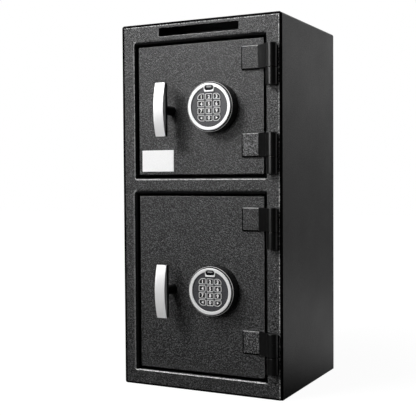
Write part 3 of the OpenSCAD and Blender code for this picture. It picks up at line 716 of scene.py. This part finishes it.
def brushed_group():
    """Marks of turning or brushing: a noise stretched along one axis by its Stretch vector."""
    group, tree, given = node_group(
        "brushing", {"Vector": "Vector", "Stretch": "Vector", "Dark": "Color", "Pale": "Color"},
        {"Color": "Color", "Height": "Float"})
    drawn = tree.add("VectorMath", given["Vector"], given["Stretch"],
                     settings={"operation": "MULTIPLY"})
    lines = tree.add("TexNoise", Vector=drawn, Scale=1.0, Detail=3.0, Roughness=0.6)
    spread = tree.ramp(lines, *NOISE_SPREAD, kind="LINEAR")
    tree.add("NodeGroupOutput", Color=tree.blend(spread, given["Dark"], given["Pale"]),
             Height=spread)
    return group


BRUSHING = brushed_group()


def metal_coat(name, dark, pale, stretch, roughness, bump_height, metallic=1.0):
    """Bare or plated metal with fine marks along one direction."""
    coat, tree, spot = material(name)
    marks = tree.group(BRUSHING, Vector=spot, Stretch=stretch, Dark=dark, Pale=pale)
    rough = tree.ramp(marks["Height"], 0.0, 1.0, roughness - 0.05, roughness + 0.07, "LINEAR")
    bump = tree.add("Bump", Strength=0.2, Distance=bump_height, Height=marks["Height"])
    tree.surface(Base_Color=marks["Color"], Metallic=metallic, Roughness=rough, Normal=bump)
    return coat


def turned(steps, place, axis, segments=TURNED_SEGMENTS):
    """A turned form: each (radius, distance along the axis) pair carried round the axis through
    place, with a flat face at each end."""
    steps = np.asarray(steps)
    turn = np.linspace(0.0, 2 * np.pi, segments, endpoint=False)
    across = steps[:, :1] * np.cos(turn)
    upward = steps[:, :1] * np.sin(turn)
    along = np.repeat(steps[:, 1:], segments, axis=1)
    order = {"x": (along, across, upward), "y": (across, along, upward),
             "z": (across, upward, along)}
    return swept(np.stack(order[axis], axis=-1) + place)


def swept(sections):
    """A closed section carried along a path, as an array of rings, with a flat face at each end."""
    rows, count = sections.shape[:2]
    ends = [list(range(count)), list(range((rows - 1) * count, rows * count))]
    return sections.reshape(-1, 3), strips(rows, count) + ends


def barrel(length, foot_z):
    """A hinge barrel round the hinge's axis, with rounded ends."""
    return turned((BARREL_R, 0.0) + edged(length, BARREL_CHAMFER) * (-1, 1), (*hinge_axis, foot_z),
                  "z")


def frame_barrel(foot_z):
    """The lower barrel of a hinge with its square foot."""
    foot = plate([rounded_outline(WELD_FOOT_W, FRAME_BARREL_L - WELD_FOOT_EDGE, WELD_FOOT_R)],
                 edged(front_y - hinge_axis[1], WELD_FOOT_EDGE, both=False),
                 (hinge_axis[0] - BARREL_R + WELD_FOOT_W / 2, hinge_axis[1],
                  foot_z + FRAME_BARREL_L / 2))
    return joined(barrel(FRAME_BARREL_L, foot_z), foot)


HINGE_COAT = sprayed_coat("hinge coat", 0.004, 0.011, 600.0, 0.5, 0.7, 0.7, 0.27, 0.0003, 0.12,
                          0.45)
ZINC_STEEL = metal_coat("zinc steel", (0.42, 0.42, 0.40, 1.0), (0.58, 0.58, 0.55, 1.0),
                        (90.0, 90.0, 700.0), 0.42, 0.0002)
frame_barrels = joined(*(frame_barrel(foot - BARREL_STEP - FRAME_BARREL_L)
                         for side in SIDES for foot in STRAP_FEET[side]))
solid("frame_hinge_barrels_turned", frame_barrels, "cabinet", HINGE_COAT,
      "frame_hinge_barrels")
dress("hinge_pins", ZINC_STEEL)


# Doors
# Six millimetre plate with a rounded edge, in the same coarse coat as the frame; its edges but the
# foot's are painted black as shade. A hole takes the handle's spindle and another the keypad's
# cable.
DOOR_CORNER_R = 3.0 * MM
DOOR_EDGE_R = 1.5 * MM
DOOR_EDGE_W = 2.5 * MM
SPINDLE_HOLE_R = 6.1 * MM
CABLE_HOLE_R = 6 * MM
HOLE_SEGMENTS = 48
door_face_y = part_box("upper_door_plate")[0][1]
DOOR_COAT = front_coat("door coat", door_face_y, 0.25)
handle_places = {side: joints[side + "_handle_turn"]["pos_m"] for side in SIDES}
keypad_places = {}
for side in SIDES:
    ring_low, _, _, ring_middle = packed_box(side + "_keypad_ring")
    board_middle = packed_box(side + "_keypad_board")[-1]
    keypad_places[side] = (ring_middle[0], ring_low[1], board_middle[2])


def door_form(side):
    """The door plate with both holes."""
    low, _, (w, thickness, h), middle = packed_box(side + "_door_plate")
    outline = rounded_outline(w, h, DOOR_CORNER_R, 6, middle[[0, 2]])
    edge = profile(rounding(DOOR_EDGE_R, 9) * (DOOR_EDGE_W / DOOR_EDGE_R, 1.0),
                   ending(0.5 * MM, thickness))
    holes = [circle(r, HOLE_SEGMENTS, (x, z))[::-1] for r, (x, _, z) in (
        (SPINDLE_HOLE_R, handle_places[side]), (CABLE_HOLE_R, keypad_places[side]))]
    straight = profile((0.0, 0.0), (0.0, thickness))
    return plate([outline, *holes], [edge, straight, straight], (0.0, low[1], 0.0))


def door_rim(x, y, z, nx, ny, nz):
    """The doors' edges but for the foot's, past the start of their rounding, painted black as
    shade.
    """
    return (y - door_face_y > 0.12 * MM) & (ny < 0.5) & ((np.abs(nx) > 0.1) | (nz > 0.1))


for side in SIDES:
    sheet = solid(side + "_door_sheet", door_form(side), side + "_door", DOOR_COAT,
                  side + "_door_plate")
    # painted shade on the doors' edges
    recoat(sheet, PAINTED_SHADE_BLACK, door_rim)


# Hinge leaves
# A flat pad lies on the door, bends forward in a slope and is rolled into the door's barrel.
# The pad keeps the coarse coat, painted lighter as a highlight on the lower pad of each door; its
# edges, the slope and the barrel are smooth, and its left and lower edges are painted black as
# shade.
LEAF_L = 45 * MM
LEAF_T = 5 * MM
PAD_W = 38.3 * MM
PAD_RIGHT = hinge_axis[0] - 28.75 * MM
PAD_CORNER = 3.2 * MM
PAD_EDGE = 2.3 * MM
PAD_RIM_EXTRA = 0.5 * MM
PAD_DROP = 1.0 * MM
SLOPE_EDGE = 0.7 * MM
SLOPE_OVERLAP = 1.5 * MM
SLOPE_IN_PAD = 3.0 * MM
STRAP_ANGLE = math.radians(194)
pad_face_y = door_face_y - LEAF_T
PAD_COAT = front_coat("pad coat", pad_face_y, 0.45, 0.072)
# painted light: a paler copy of the pad coat for the lower pad of each door
PAINTED_LIGHT_PAD_COAT = front_coat("pad coat painted lighter", pad_face_y, 0.45, 0.185)


def strap_form(foot_z):
    """The slope between pad and barrel: its section from above, carried up the leaf's height."""
    start = np.array((PAD_RIGHT, pad_face_y))
    end = hinge_axis + BARREL_R * np.array((math.cos(STRAP_ANGLE), math.sin(STRAP_ANGLE)))
    run = (end - start) / np.linalg.norm(end - start)
    inward = LEAF_T * np.array((-run[1], run[0]))
    end = end + run * SLOPE_OVERLAP
    section = np.array([start - (SLOPE_IN_PAD, 0.0), start, end, end + inward,
                        start + inward + run * 1.0 * MM,
                        start + (-SLOPE_IN_PAD, LEAF_T - 0.1 * MM)])
    return plate([section], edged(LEAF_L, SLOPE_EDGE), (0.0, 0.0, foot_z), TOP_VIEW)


def pad_form(foot_z):
    """The pad: a rounded rectangle with a rounded edge round its face."""
    outline = rounded_outline(PAD_W, LEAF_L + PAD_DROP, PAD_CORNER)
    rim = PAD_EDGE + 0.05 * MM + PAD_RIM_EXTRA * np.clip(mitres(outline).sum(axis=1), 0.0, 1.0)
    return plate([outline], [[(rim, 0.0), *profile(rounding(PAD_EDGE, 7), (0.0, LEAF_T))]],
                 (PAD_RIGHT - PAD_W / 2, pad_face_y, foot_z + (LEAF_L - PAD_DROP) / 2))


def pad_rim(x, y, z, nx, ny, nz):
    """The pads' left and lower edges, with a strip of the face beside them, painted black as shade.
    """
    reach = PAD_EDGE + PAD_RIM_EXTRA
    rise = np.min([np.abs(z - foot + PAD_DROP - reach / 2) for side in SIDES
                   for foot in STRAP_FEET[side]], axis=0)
    return (x < PAD_RIGHT - PAD_W + reach) & (nz < 0.5) | (rise < reach / 2)


for side in SIDES:
    feet = STRAP_FEET[side]
    pads = solid(side + "_hinge_pads", joined(*(pad_form(foot) for foot in feet)), side + "_door",
                 PAD_COAT, side + "_hinge_straps")
    # painted light on the lower pad of each door
    recoat(pads, PAINTED_LIGHT_PAD_COAT, lambda x, y, z, *rest: z < feet[1] + LEAF_L)
    # painted shade on the pads' left and lower edges
    recoat(pads, PAINTED_SHADE_BLACK, pad_rim)
    leaves = joined(*(strap_form(foot) for foot in feet), *(barrel(LEAF_L, foot) for foot in feet))
    solid(side + "_hinge_barrels", leaves, side + "_door", HINGE_COAT)


# Lock covers
# A shallow box of two millimetre sheet with folded edges closes the boltwork in behind each door.
# Four screws hold it, and the live bolts come out through its left side.
COVER_T = 2 * MM
COVER_FOLD = 3.5 * MM
COVER_SCREW_INSET = 14 * MM
SCREW_R = 4 * MM
SCREW_RISE = 1.8 * MM
BOLT_HOLE_R = 12.8 * MM
BOLT_HOLE_REACH = 4 * MM


def cut_out(piece, cutter):
    """Cuts one closed surface out of another and keeps the result in the piece's mesh."""
    tool = put("cutter", bpy.data.meshes.new("cutter"))
    tool.data.from_pydata(cutter[0], [], cutter[1])
    piece.modifiers.clear()
    cut = piece.modifiers.new("cut", "BOOLEAN")
    cut.operation = "DIFFERENCE"
    cut.solver = "EXACT"
    cut.object = tool
    bpy.context.view_layer.update()
    seen = piece.evaluated_get(bpy.context.evaluated_depsgraph_get())
    result = bpy.data.meshes.new_from_object(seen)
    piece.modifiers.clear()
    piece.data = result
    shade_flat_faces(piece)
    bpy.data.objects.remove(tool)


def screw_head(place):
    """A domed screw head on the cover's back: radius against height, with a sunk middle."""
    turn = np.linspace(0.0, np.pi / 2, 6)
    dome = np.column_stack((SCREW_R * np.cos(turn) ** 0.6, SCREW_RISE * np.sin(turn)))[:-1]
    return turned(profile((SCREW_R, -0.2 * MM), dome, (SCREW_R * 0.42, SCREW_RISE * 0.97),
                          (SCREW_R * 0.36, SCREW_RISE * 0.55)), place, "y", 32)


for side in SIDES:
    low, high, size, middle = packed_box(side + "_lock_cover")
    inner_fold = rounding(COVER_FOLD - COVER_T, 4) * (1, -1) + (COVER_T, size[1] - COVER_T)
    shell = profile(inner_fold, (COVER_T, 0.0), (0.0, 0.0), ending(COVER_FOLD, size[1], 6))
    sheet = plate([rounded_outline(size[0], size[2], COVER_FOLD, 5)], shell,
                  (middle[0], low[1], middle[2]))
    cover = solid(side + "_lock_cover_folded", sheet, side + "_door", INNER_COAT,
                  side + "_lock_cover")
    bolts_low, bolts_high, bolts_size, _ = packed_box(side + "_live_bolts")
    bolt_r = bolts_size[1] / 2
    for bolt_z in (bolts_low[2] + bolt_r, bolts_high[2] - bolt_r):
        cut_out(cover, turned([(BOLT_HOLE_R, -BOLT_HOLE_REACH), (BOLT_HOLE_R, BOLT_HOLE_REACH)],
                              (low[0], bolts_low[1] + bolt_r, bolt_z), "x"))
    screws = [screw_head((middle[0] + sx * (size[0] / 2 - COVER_SCREW_INSET), high[1],
                          middle[2] + sz * (size[2] / 2 - COVER_SCREW_INSET)))
              for sx in (-1, 1) for sz in (-1, 1)]
    solid(side + "_cover_screws", joined(*screws), side + "_door", ZINC_STEEL)


# Boltwork and lock
# Live bolts of turned bright steel sit on a zinc plated bar that the handle's crank drives. The
# dead bar is a zinc plated angle on the hinge side. The lock is a zinc casting.
BOLT_EDGE = 1.5 * MM
GROOVE_AT = 6.0 * MM
GROOVE_DEPTH = 0.35 * MM
DEAD_BAR_T = 5 * MM
DEAD_BAR_EDGE = 0.5 * MM
BOLT_STEEL = metal_coat("bolt steel", 0.60, 0.78, (1500.0, 60.0, 60.0), 0.24, 0.0001)


def live_bolts(side):
    """Two turned bolts with a chamfered tip and a shallow groove behind it."""
    low, high, size, _ = packed_box(side + "_live_bolts")
    r = size[1] / 2
    groove_r = r - GROOVE_DEPTH
    steps = [(r - BOLT_EDGE - 0.4 * MM, 0.0), (r - BOLT_EDGE, 0.15 * MM),
             (r - 0.3 * MM, BOLT_EDGE - 0.2 * MM), (r, BOLT_EDGE + 0.3 * MM), (r, GROOVE_AT),
             (groove_r, GROOVE_AT + GROOVE_DEPTH), (groove_r, GROOVE_AT + 1.0 * MM),
             (r, GROOVE_AT + 1.0 * MM + GROOVE_DEPTH), (r, size[0])]
    return joined(*(turned(steps, (low[0], low[1] + r, z), "x")
                    for z in (low[2] + r, high[2] - r)))


def dead_bar(side):
    """An angle bar from above, with rounded edges."""
    low, high, size, _ = packed_box(side + "_dead_bar")
    corner_x, corner_y = low[0] + DEAD_BAR_T, high[1] - DEAD_BAR_T
    section = np.array([(low[0], low[1]), (corner_x, low[1]), (corner_x, corner_y),
                        (high[0], corner_y), (high[0], high[1]), (low[0], high[1])])
    return plate([section], edged(size[2], DEAD_BAR_EDGE), (0.0, 0.0, low[2]), TOP_VIEW)


for side in SIDES:
    solid(side + "_live_bolts_turned", live_bolts(side), side + "_boltwork", BOLT_STEEL,
          side + "_live_bolts")
    solid(side + "_dead_bar_angle", dead_bar(side), side + "_door", ZINC_STEEL,
          side + "_dead_bar")
    for name in ("bolt_bar", "crank", "lock_case"):
        dress(f"{side}_{name}", ZINC_STEEL)
    dress(side + "_lock_plunger", BOLT_STEEL)


# Lever handles
# A bright block with a bowed face and a shallow panel is screwed on a dark straight bar with a
# round stem.
GRIP_W = 22 * MM
GRIP_DEPTH = 26 * MM
GRIP_BOW = 9 * MM
GRIP_TAPER = 3 * MM
GRIP_TAPER_D = 9 * MM
GRIP_BAR_INSET = 1 * MM
GRIP_RIM = 2.2 * MM
GRIP_RIM_SLOPE = 0.5 * MM
GRIP_PANEL_DEPTH = 0.3 * MM
GRIP_EDGE = 0.8 * MM
BAR_BACK_R = 1.4 * MM
BAR_BEND = 1.2 * MM
STEM_R = 9 * MM
STEM_RING = 0.4 * MM
STEM_IN_BAR = 3 * MM
SATIN_SILVER = metal_coat("satin silver", 0.82, 0.87, (900.0, 900.0, 40.0), 0.33, 0.0001, 0.25)
GRIP_BLACK = sprayed_coat("grip black", 0.003, 0.007, 900.0, 0.5, 0.7, 0.8, 0.36, 0.0002, 0.2, 0.1)


def end_stations(length, edge, middle=49):
    """Places along a bar of that length with how far its outline draws in there: a quarter round
    at each end and even steps between."""
    turn = np.linspace(0.0, np.pi / 2, 6)
    tip = length / 2 - edge + edge * np.cos(turn)
    inset = edge - edge * np.sin(turn)
    inner = np.linspace(length / 2 - edge, -length / 2 + edge, middle)[1:-1]
    place = np.concatenate((tip, inner, -tip[::-1]))
    return place[:, None], np.concatenate((inset, np.zeros(len(inner)), inset[::-1]))[:, None]


def soft_step(x, start, end):
    """0 before start and 1 after end, with a smooth rise between."""
    t = np.clip((x - start) / (end - start), 0.0, 1.0)
    return t * t * (3 - 2 * t)


def grip_block(centre, front_y, seam_y, length, radius):
    """The block: its front is front_y + radius - sqrt(radius^2 - z^2) deep along the bow, with a
    rounded edge and a sunk panel, and its back is flat at seam_y."""
    z, inset = end_stations(length, GRIP_EDGE)
    edge = rounding(GRIP_EDGE, 5)
    panel = np.linspace(-1.0, 1.0, 35)[1:-1] * (GRIP_W / 2 - GRIP_EDGE)
    x = np.concatenate(([-GRIP_W / 2], edge[::-1, 0] - GRIP_W / 2, panel, GRIP_W / 2 - edge[:, 0],
                        [GRIP_W / 2]))
    depth = inset + np.concatenate(([np.inf], edge[::-1, 1], np.zeros(len(panel)), edge[:, 1],
                                    [np.inf]))
    sunk = (soft_step(GRIP_W / 2 - np.abs(x), GRIP_RIM - GRIP_RIM_SLOPE, GRIP_RIM)
            * soft_step(length / 2 - np.abs(z), GRIP_RIM - GRIP_RIM_SLOPE, GRIP_RIM))
    bow = front_y + radius - np.sqrt(radius ** 2 - z ** 2)
    y = np.minimum(bow + depth + GRIP_PANEL_DEPTH * sunk, seam_y)
    across = centre[0] + x * (1 - inset / (GRIP_W / 2))
    return swept(np.stack((across, y, centre[2] + np.repeat(z, len(x), axis=1)), axis=-1))


def grip_bar(centre, seam_y, back_y, length):
    """The dark bar: straight sides that draw in to the flat back, with rounded ends."""
    z, inset = end_stations(length, GRIP_EDGE, 3)
    half = GRIP_W / 2 - GRIP_BAR_INSET
    bend = np.linspace(-1.0, 1.0, 5)
    bend_x = half - GRIP_TAPER / GRIP_TAPER_D * BAR_BEND * ((bend + 1.0) / 2.0) ** 2
    right_side = np.concatenate((
        [(half, seam_y)], np.column_stack((bend_x, back_y - GRIP_TAPER_D + BAR_BEND * bend)),
        arc(BAR_BACK_R, 0.0, np.pi / 2, 5, (half - GRIP_TAPER - BAR_BACK_R, back_y - BAR_BACK_R))))
    x, y = np.concatenate((right_side, right_side[::-1] * (-1, 1))).T
    middle = (seam_y + back_y) / 2
    drawn_in = 1 - inset / half
    return swept(np.stack((centre[0] + x * drawn_in, middle + (y - middle) * drawn_in,
                           centre[2] + np.repeat(z, len(x), axis=1)), axis=-1))


for side in SIDES:
    face_low, face_high, (_, _, length), centre = packed_box(side + "_handle_face")
    _, core_high, core_size, _ = packed_box(side + "_handle")
    radius = ((length / 2) ** 2 + GRIP_BOW ** 2) / (2 * GRIP_BOW)
    back_y = face_low[1] + GRIP_DEPTH
    block = grip_block(centre, face_low[1], face_high[1], length, radius)
    solid(side + "_handle_block", block, side + "_handle", SATIN_SILVER,
          side + "_handle_face")
    bar = grip_bar(centre, face_high[1], back_y, core_size[2])
    stem_l = core_high[1] - back_y + STEM_IN_BAR
    stem = turned([(STEM_R, 0.0), (STEM_R, stem_l - 2.4 * MM),
                   (STEM_R + STEM_RING, stem_l - 1.6 * MM), (STEM_R + STEM_RING, stem_l - 0.2 * MM),
                   (STEM_R + STEM_RING / 2, stem_l)],
                  (centre[0], back_y - STEM_IN_BAR, centre[2]), "y")
    solid(side + "_handle_bar", joined(bar, stem), side + "_handle", GRIP_BLACK,
          side + "_handle")


# Keypads
# A round black housing widens towards the door. Its grey face carries a bright bevelled ring with
# a tab round the status window, and twelve keys with pale printed outlines and plain digits. A grey
# line on the housing's rim and the pale bar in the window are painted highlights; the cap's side,
# its step and a thin strip inside the ring are painted black as shade.
RING_R = 45.5 * MM
RING_W = 6.5 * MM
RING_T = 2 * MM
RING_BEVEL = 1.1 * MM
RING_INNER_BEVEL = 0.6 * MM
CAP_R = 45 * MM
CAP_EDGE = 0.4 * MM
RIM_R = 48.4 * MM
BASE_R = 49.5 * MM
CAP_D = 1.75 * MM
FACE_T = 2.5 * MM
ROOM_R = 42 * MM
HOUSING_EDGE = 1.0 * MM
# a thin black strip inside the ring, painted shade
SHADE_STRIP_W = 0.9 * MM
SHADE_STRIP_T = 0.2 * MM
LIGHT_W = 11.0 * MM
LIGHT_H = 2.4 * MM
LIGHT_RISE = 1.5 * MM
TAB_W = 20.5 * MM
TAB_RISE = 28.4 * MM
TAB_CORNER_R = 1.6 * MM
WINDOW_W = 19.6 * MM
WINDOW_H = 10 * MM
WINDOW_RISE = 36.4 * MM
WINDOW_GAP = 0.3 * MM
ROUND_SEGMENTS = 160
KEY_PITCH = (17 * MM, 13.8 * MM)
KEY_W = 15 * MM
KEY_H = 12 * MM
KEY_CORNER = 2 * MM
KEY_FIELD_R = 32.5 * MM
KEY_DROP = 1.2 * MM
KEY_GAP = 0.35 * MM
KEY_EDGE = 0.5 * MM
KEY_MARKS = "123456789<0>"
PRINT_T = 0.12 * MM
LINE_W = 1.1 * MM
LINE_INSET = 0.2 * MM
DIGIT_SIZE = 9.0 * MM
DIGIT_BOLD = 0.35 * MM
MARK_INWARD = (0.96, 0.98)
POINTER = np.array([(2.6, 0.0), (-1.8, 2.6), (-1.8, -2.6)]) * MM
PRINTED = (1600.0, 0.4, 0.6, 0.9, 0.5, 0.0001, 0.05)


def keypad_coat():
    """Moulded housing: the face in fine mid grey, the side in smooth black."""
    coat, tree, spot = material("keypad black")
    face = tree.group(COAT_GRAIN, Vector=spot, Grain=1100.0, Base=grey(0.026, 0.16),
                      Speck=grey(0.075, 0.12), Low=0.47, High=0.62, Cloud=0.85)
    flat = pressed_edge(tree, spot, keypad_places["upper"][1] + RING_T)["Flat"]
    tree.surface(Base_Color=tree.blend(flat, 0.008, face["Color"]),
                 Roughness=tree.ramp(flat, 0.0, 1.0, 0.27, 0.42, "LINEAR"),
                 Normal=tree.add("Bump", Strength=0.15, Distance=0.0001, Height=face["Height"]))
    return coat


KEYPAD_BLACK = keypad_coat()
# painted highlight: a grey coat for the rounded edge of the housing's rim
RIM_HIGHLIGHT_GREY = sprayed_coat("rim painted highlight", 0.42, 0.58, 900.0, 0.4, 0.6, 0.9, 0.35, 0.0001, 0.1)
KEY_RUBBER = sprayed_coat("key rubber", grey(0.006, 0.1), grey(0.016, 0.1), 1100.0, 0.4, 0.7, 0.9,
                          0.5, 0.0001, 0.12, 0.3)
LINE_GREY = sprayed_coat("line grey", 0.66, 0.80, *PRINTED)
# painted highlight: the pale grey of the status light's bar in the window
GLINT_GREY = sprayed_coat("window glint grey", 0.22, 0.32, *PRINTED)
DIGIT_PALE = sprayed_coat("digit pale", 0.82, 0.90, 1600.0, 0.4, 0.6, 0.95, 0.5, 0.0001, 0.05)
BOARD_GREEN = sprayed_coat("board green", (0.012, 0.075, 0.028, 1.0), (0.02, 0.12, 0.05, 1.0),
                           700.0, 0.45, 0.6, 0.8, 0.33, 0.0001, 0.1)
LENS_BLACK = sprayed_coat("lens black", grey(0.004, 0.2), grey(0.010, 0.2), 300.0, 0.4, 0.7,
                          0.9, 0.22, gloss=0.25)


def stadium(w, h, gap=0.0, centre=(0.0, 0.0)):
    """A bar with round ends, anticlockwise, grown by gap."""
    r, reach = h / 2 + gap, (w - h) / 2
    right_end = arc(r, -math.pi / 2, math.pi / 2, 16, (reach, 0.0))
    left_end = arc(r, math.pi / 2, 3 * math.pi / 2, 16, (-reach, 0.0))
    return np.concatenate((right_end, left_end)) + centre


def key_centre(key):
    """A key's centre from the middle of the twelve, in rows of three from the top left."""
    return np.array(((key % 3 - 1) * KEY_PITCH[0], (1.5 - key // 3) * KEY_PITCH[1]))


def key_outline(key, gap=0.0):
    """A key's outline: a rounded rectangle whose points past the field's circle move in to it."""
    outline = rounded_outline(KEY_W + 2 * gap, KEY_H + 2 * gap, KEY_CORNER + gap, 6)
    fine = np.stack([outline + (np.roll(outline, -1, axis=0) - outline) * share
                     for share in (0.0, 0.25, 0.5, 0.75)], axis=1).reshape(-1, 2) + key_centre(key)
    reach = np.linalg.norm(fine, axis=1, keepdims=True)
    return fine * np.minimum(1.0, (KEY_FIELD_R + gap) / reach)


def housing_form(place):
    """The housing as one shell: face, cap, rim, the side that widens to the door, and its inner
    wall, with holes for the keys and the window. Depth runs from the ring's front."""
    reach = float(door_face_y - place[1])
    rim_depth = RING_T + CAP_D
    outer = profile(rounding(CAP_EDGE, 3) + (BASE_R - CAP_R, RING_T), (BASE_R - CAP_R, rim_depth),
                    rounding(HOUSING_EDGE, 5) + (BASE_R - RIM_R, rim_depth),
                    (0.0, reach - 0.4 * MM), (0.2 * MM, reach), (BASE_R - ROOM_R, reach),
                    (BASE_R - ROOM_R, RING_T + FACE_T))
    through = profile((0.2 * MM, RING_T), (0.0, RING_T + 0.2 * MM), (0.0, RING_T + FACE_T))
    holes = [(key_outline(key, KEY_GAP) - (0.0, KEY_DROP))[::-1] for key in range(12)]
    holes.append(stadium(WINDOW_W, WINDOW_H, WINDOW_GAP, (0.0, WINDOW_RISE))[::-1])
    return plate([circle(BASE_R, ROUND_SEGMENTS), *holes], [outer] + [through] * len(holes), place)


def ring_inner():
    """The ring's inner edge: a circle that steps down round the window's tab."""
    inner_r = RING_R - RING_W
    tab_angle = math.acos(TAB_W / 2 / inner_r) - 0.035
    foot_x, foot_z = TAB_W / 2 - TAB_CORNER_R, TAB_RISE + TAB_CORNER_R
    return np.concatenate((
        arc(inner_r, math.pi - tab_angle, 2 * math.pi + tab_angle, 120),
        arc(TAB_CORNER_R, 0.0, -math.pi / 2, 5, (foot_x, foot_z)),
        arc(TAB_CORNER_R, -math.pi / 2, -math.pi, 5, (-foot_x, foot_z))))


def ring_form(place):
    """The bright ring, bevelled inside and out, with the window cut out."""
    window = stadium(WINDOW_W, WINDOW_H, 0.0, (0.0, WINDOW_RISE))[::-1]
    outer_steps = profile(rounding(RING_BEVEL, 5), (0.0, RING_T))
    inner_steps = profile(rounding(RING_INNER_BEVEL, 4), (0.0, RING_T))
    return plate([circle(RING_R, ROUND_SEGMENTS), ring_inner()[::-1], window],
                 [outer_steps, inner_steps, inner_steps], place)


def housing_ring(low, high, radius):
    """Picks the housing's faces from one depth behind its face to another, past that radius."""
    return lambda x, y, z, *rest: ((y - ring_y - RING_T > low) & (y - ring_y - RING_T < high)
                                   & (np.hypot(x - ring_x, z - ring_z) > radius))


def printed(digit, x, y, z):
    """A digit as flat raised print, from the built-in font, facing the front. The six is a nine
    that stands on its head."""
    way = -1 if digit == "6" else 1
    curve = bpy.data.curves.new("digit", "FONT")
    curve.body = "9" if digit == "6" else digit
    curve.size = DIGIT_SIZE
    curve.offset = DIGIT_BOLD
    curve.align_x = "CENTER"
    curve.align_y = "CENTER"
    curve.extrude = PRINT_T / 2
    holder = put("digit", curve)
    seen = holder.evaluated_get(bpy.context.evaluated_depsgraph_get())
    flat = bpy.data.meshes.new_from_object(seen)
    points = np.empty(len(flat.vertices) * 3, np.float32)
    flat.vertices.foreach_get("co", points)
    points = points.reshape(-1, 3).astype(float)
    faces = [list(face.vertices) for face in flat.polygons]
    bpy.data.objects.remove(holder)
    middle = (points[:, :2].min(axis=0) + points[:, :2].max(axis=0)) / 2
    return np.column_stack((x + way * (points[:, 0] - middle[0]), y - points[:, 2],
                            z + way * (points[:, 1] - middle[1]))), faces


for side in SIDES:
    body = side + "_door"
    place = ring_x, ring_y, ring_z = keypad_places[side]
    shell = solid(side + "_keypad_shell", housing_form(place), body, KEYPAD_BLACK,
                  side + "_keypad_housing")
    # painted highlight on the housing's rim
    recoat(shell, RIM_HIGHLIGHT_GREY, housing_ring(CAP_D + 0.01 * MM, CAP_D + HOUSING_EDGE,
                                         RIM_R - HOUSING_EDGE))
    # painted shade: the cap's side and the step behind it in the black shade coat
    recoat(shell, PAINTED_SHADE_BLACK, housing_ring(0.05 * MM, CAP_D + 0.01 * MM, CAP_R - HOUSING_EDGE))
    # painted shade: a thin black strip along the ring's inner edge, where the groove lies in shade
    shade_strip = plate([ring_inner(), shrunk(ring_inner(), SHADE_STRIP_W)[::-1]],
                   profile((0.0, RING_T - SHADE_STRIP_T), (0.0, RING_T)), place)
    solid(side + "_keypad_shade_strip", shade_strip, body, PAINTED_SHADE_BLACK)
    solid(side + "_keypad_bezel", ring_form(place), body, SATIN_SILVER,
          side + "_keypad_ring")
    lens = plate([stadium(WINDOW_W - 0.4 * MM, WINDOW_H - 0.4 * MM)],
                 profile((1.6 * MM, 0.50 * MM), (0.8 * MM, 0.60 * MM), (0.2 * MM, 0.8 * MM),
                         (0.0, 1.2 * MM), (0.0, RING_T)), (ring_x, ring_y, ring_z + WINDOW_RISE))
    solid(side + "_window_lens", lens, body, LENS_BLACK)
    # the status light's bar, painted pale as the window's highlight
    light = plate([stadium(LIGHT_W, LIGHT_H)], edged(0.6 * MM, 0.2 * MM, both=False),
                  (ring_x, ring_y + 0.35 * MM, ring_z + WINDOW_RISE + LIGHT_RISE))
    solid(side + "_window_light_glint", light, body, GLINT_GREY)
    dress(side + "_keypad_board", BOARD_GREEN)
    for key, digit in enumerate(KEY_MARKS):
        name = f"{side}_key_{key + 1}"
        (_, key_y, _), _, key_size, _ = packed_box(name)
        print_y = key_y - PRINT_T
        flat_print = profile((0.0, 0.0), (0.0, PRINT_T))
        cap = plate([key_outline(key)], edged(key_size[1], KEY_EDGE, both=False),
                    (ring_x, key_y, ring_z - KEY_DROP))
        solid(name + "_cap", cap, name, KEY_RUBBER, name)
        line = plate([key_outline(key, -LINE_INSET), key_outline(key, -LINE_INSET - LINE_W)[::-1]],
                     flat_print, (ring_x, print_y, ring_z - KEY_DROP))
        solid(name + "_line", line, name, LINE_GREY)
        mark_x, mark_z = (ring_x, ring_z - KEY_DROP) + key_centre(key) * MARK_INWARD
        if digit in "<>":
            way = -1 if digit == "<" else 1
            mark = plate([(POINTER * (way, 1))[::way]], flat_print, (mark_x, print_y, mark_z))
        else:
            mark = printed(digit, mark_x, key_y - PRINT_T / 2, mark_z)
        solid(name + "_mark", mark, name, DIGIT_PALE)


# Label plate
# A thin white plate, left plain, stuck to the upper door's lower left corner.
LABEL_W = 72.5 * MM
LABEL_H = 43.0 * MM
LABEL_T = 0.8 * MM
LABEL_CORNER_R = 1.0 * MM
LABEL_EDGE = 0.25 * MM
LABEL_PLACE = (-94.6 * MM, 458.7 * MM)
LABEL_WHITE = sprayed_coat("label white", 0.78, 0.86, 900.0, 0.4, 0.6, 0.97, 0.36, 0.0001, 0.05)
label = plate([rounded_outline(LABEL_W, LABEL_H, LABEL_CORNER_R)],
              edged(LABEL_T, LABEL_EDGE, both=False),
              (LABEL_PLACE[0], door_face_y - LABEL_T, LABEL_PLACE[1]))
solid("upper_label_plate", label, "upper_door", LABEL_WHITE)
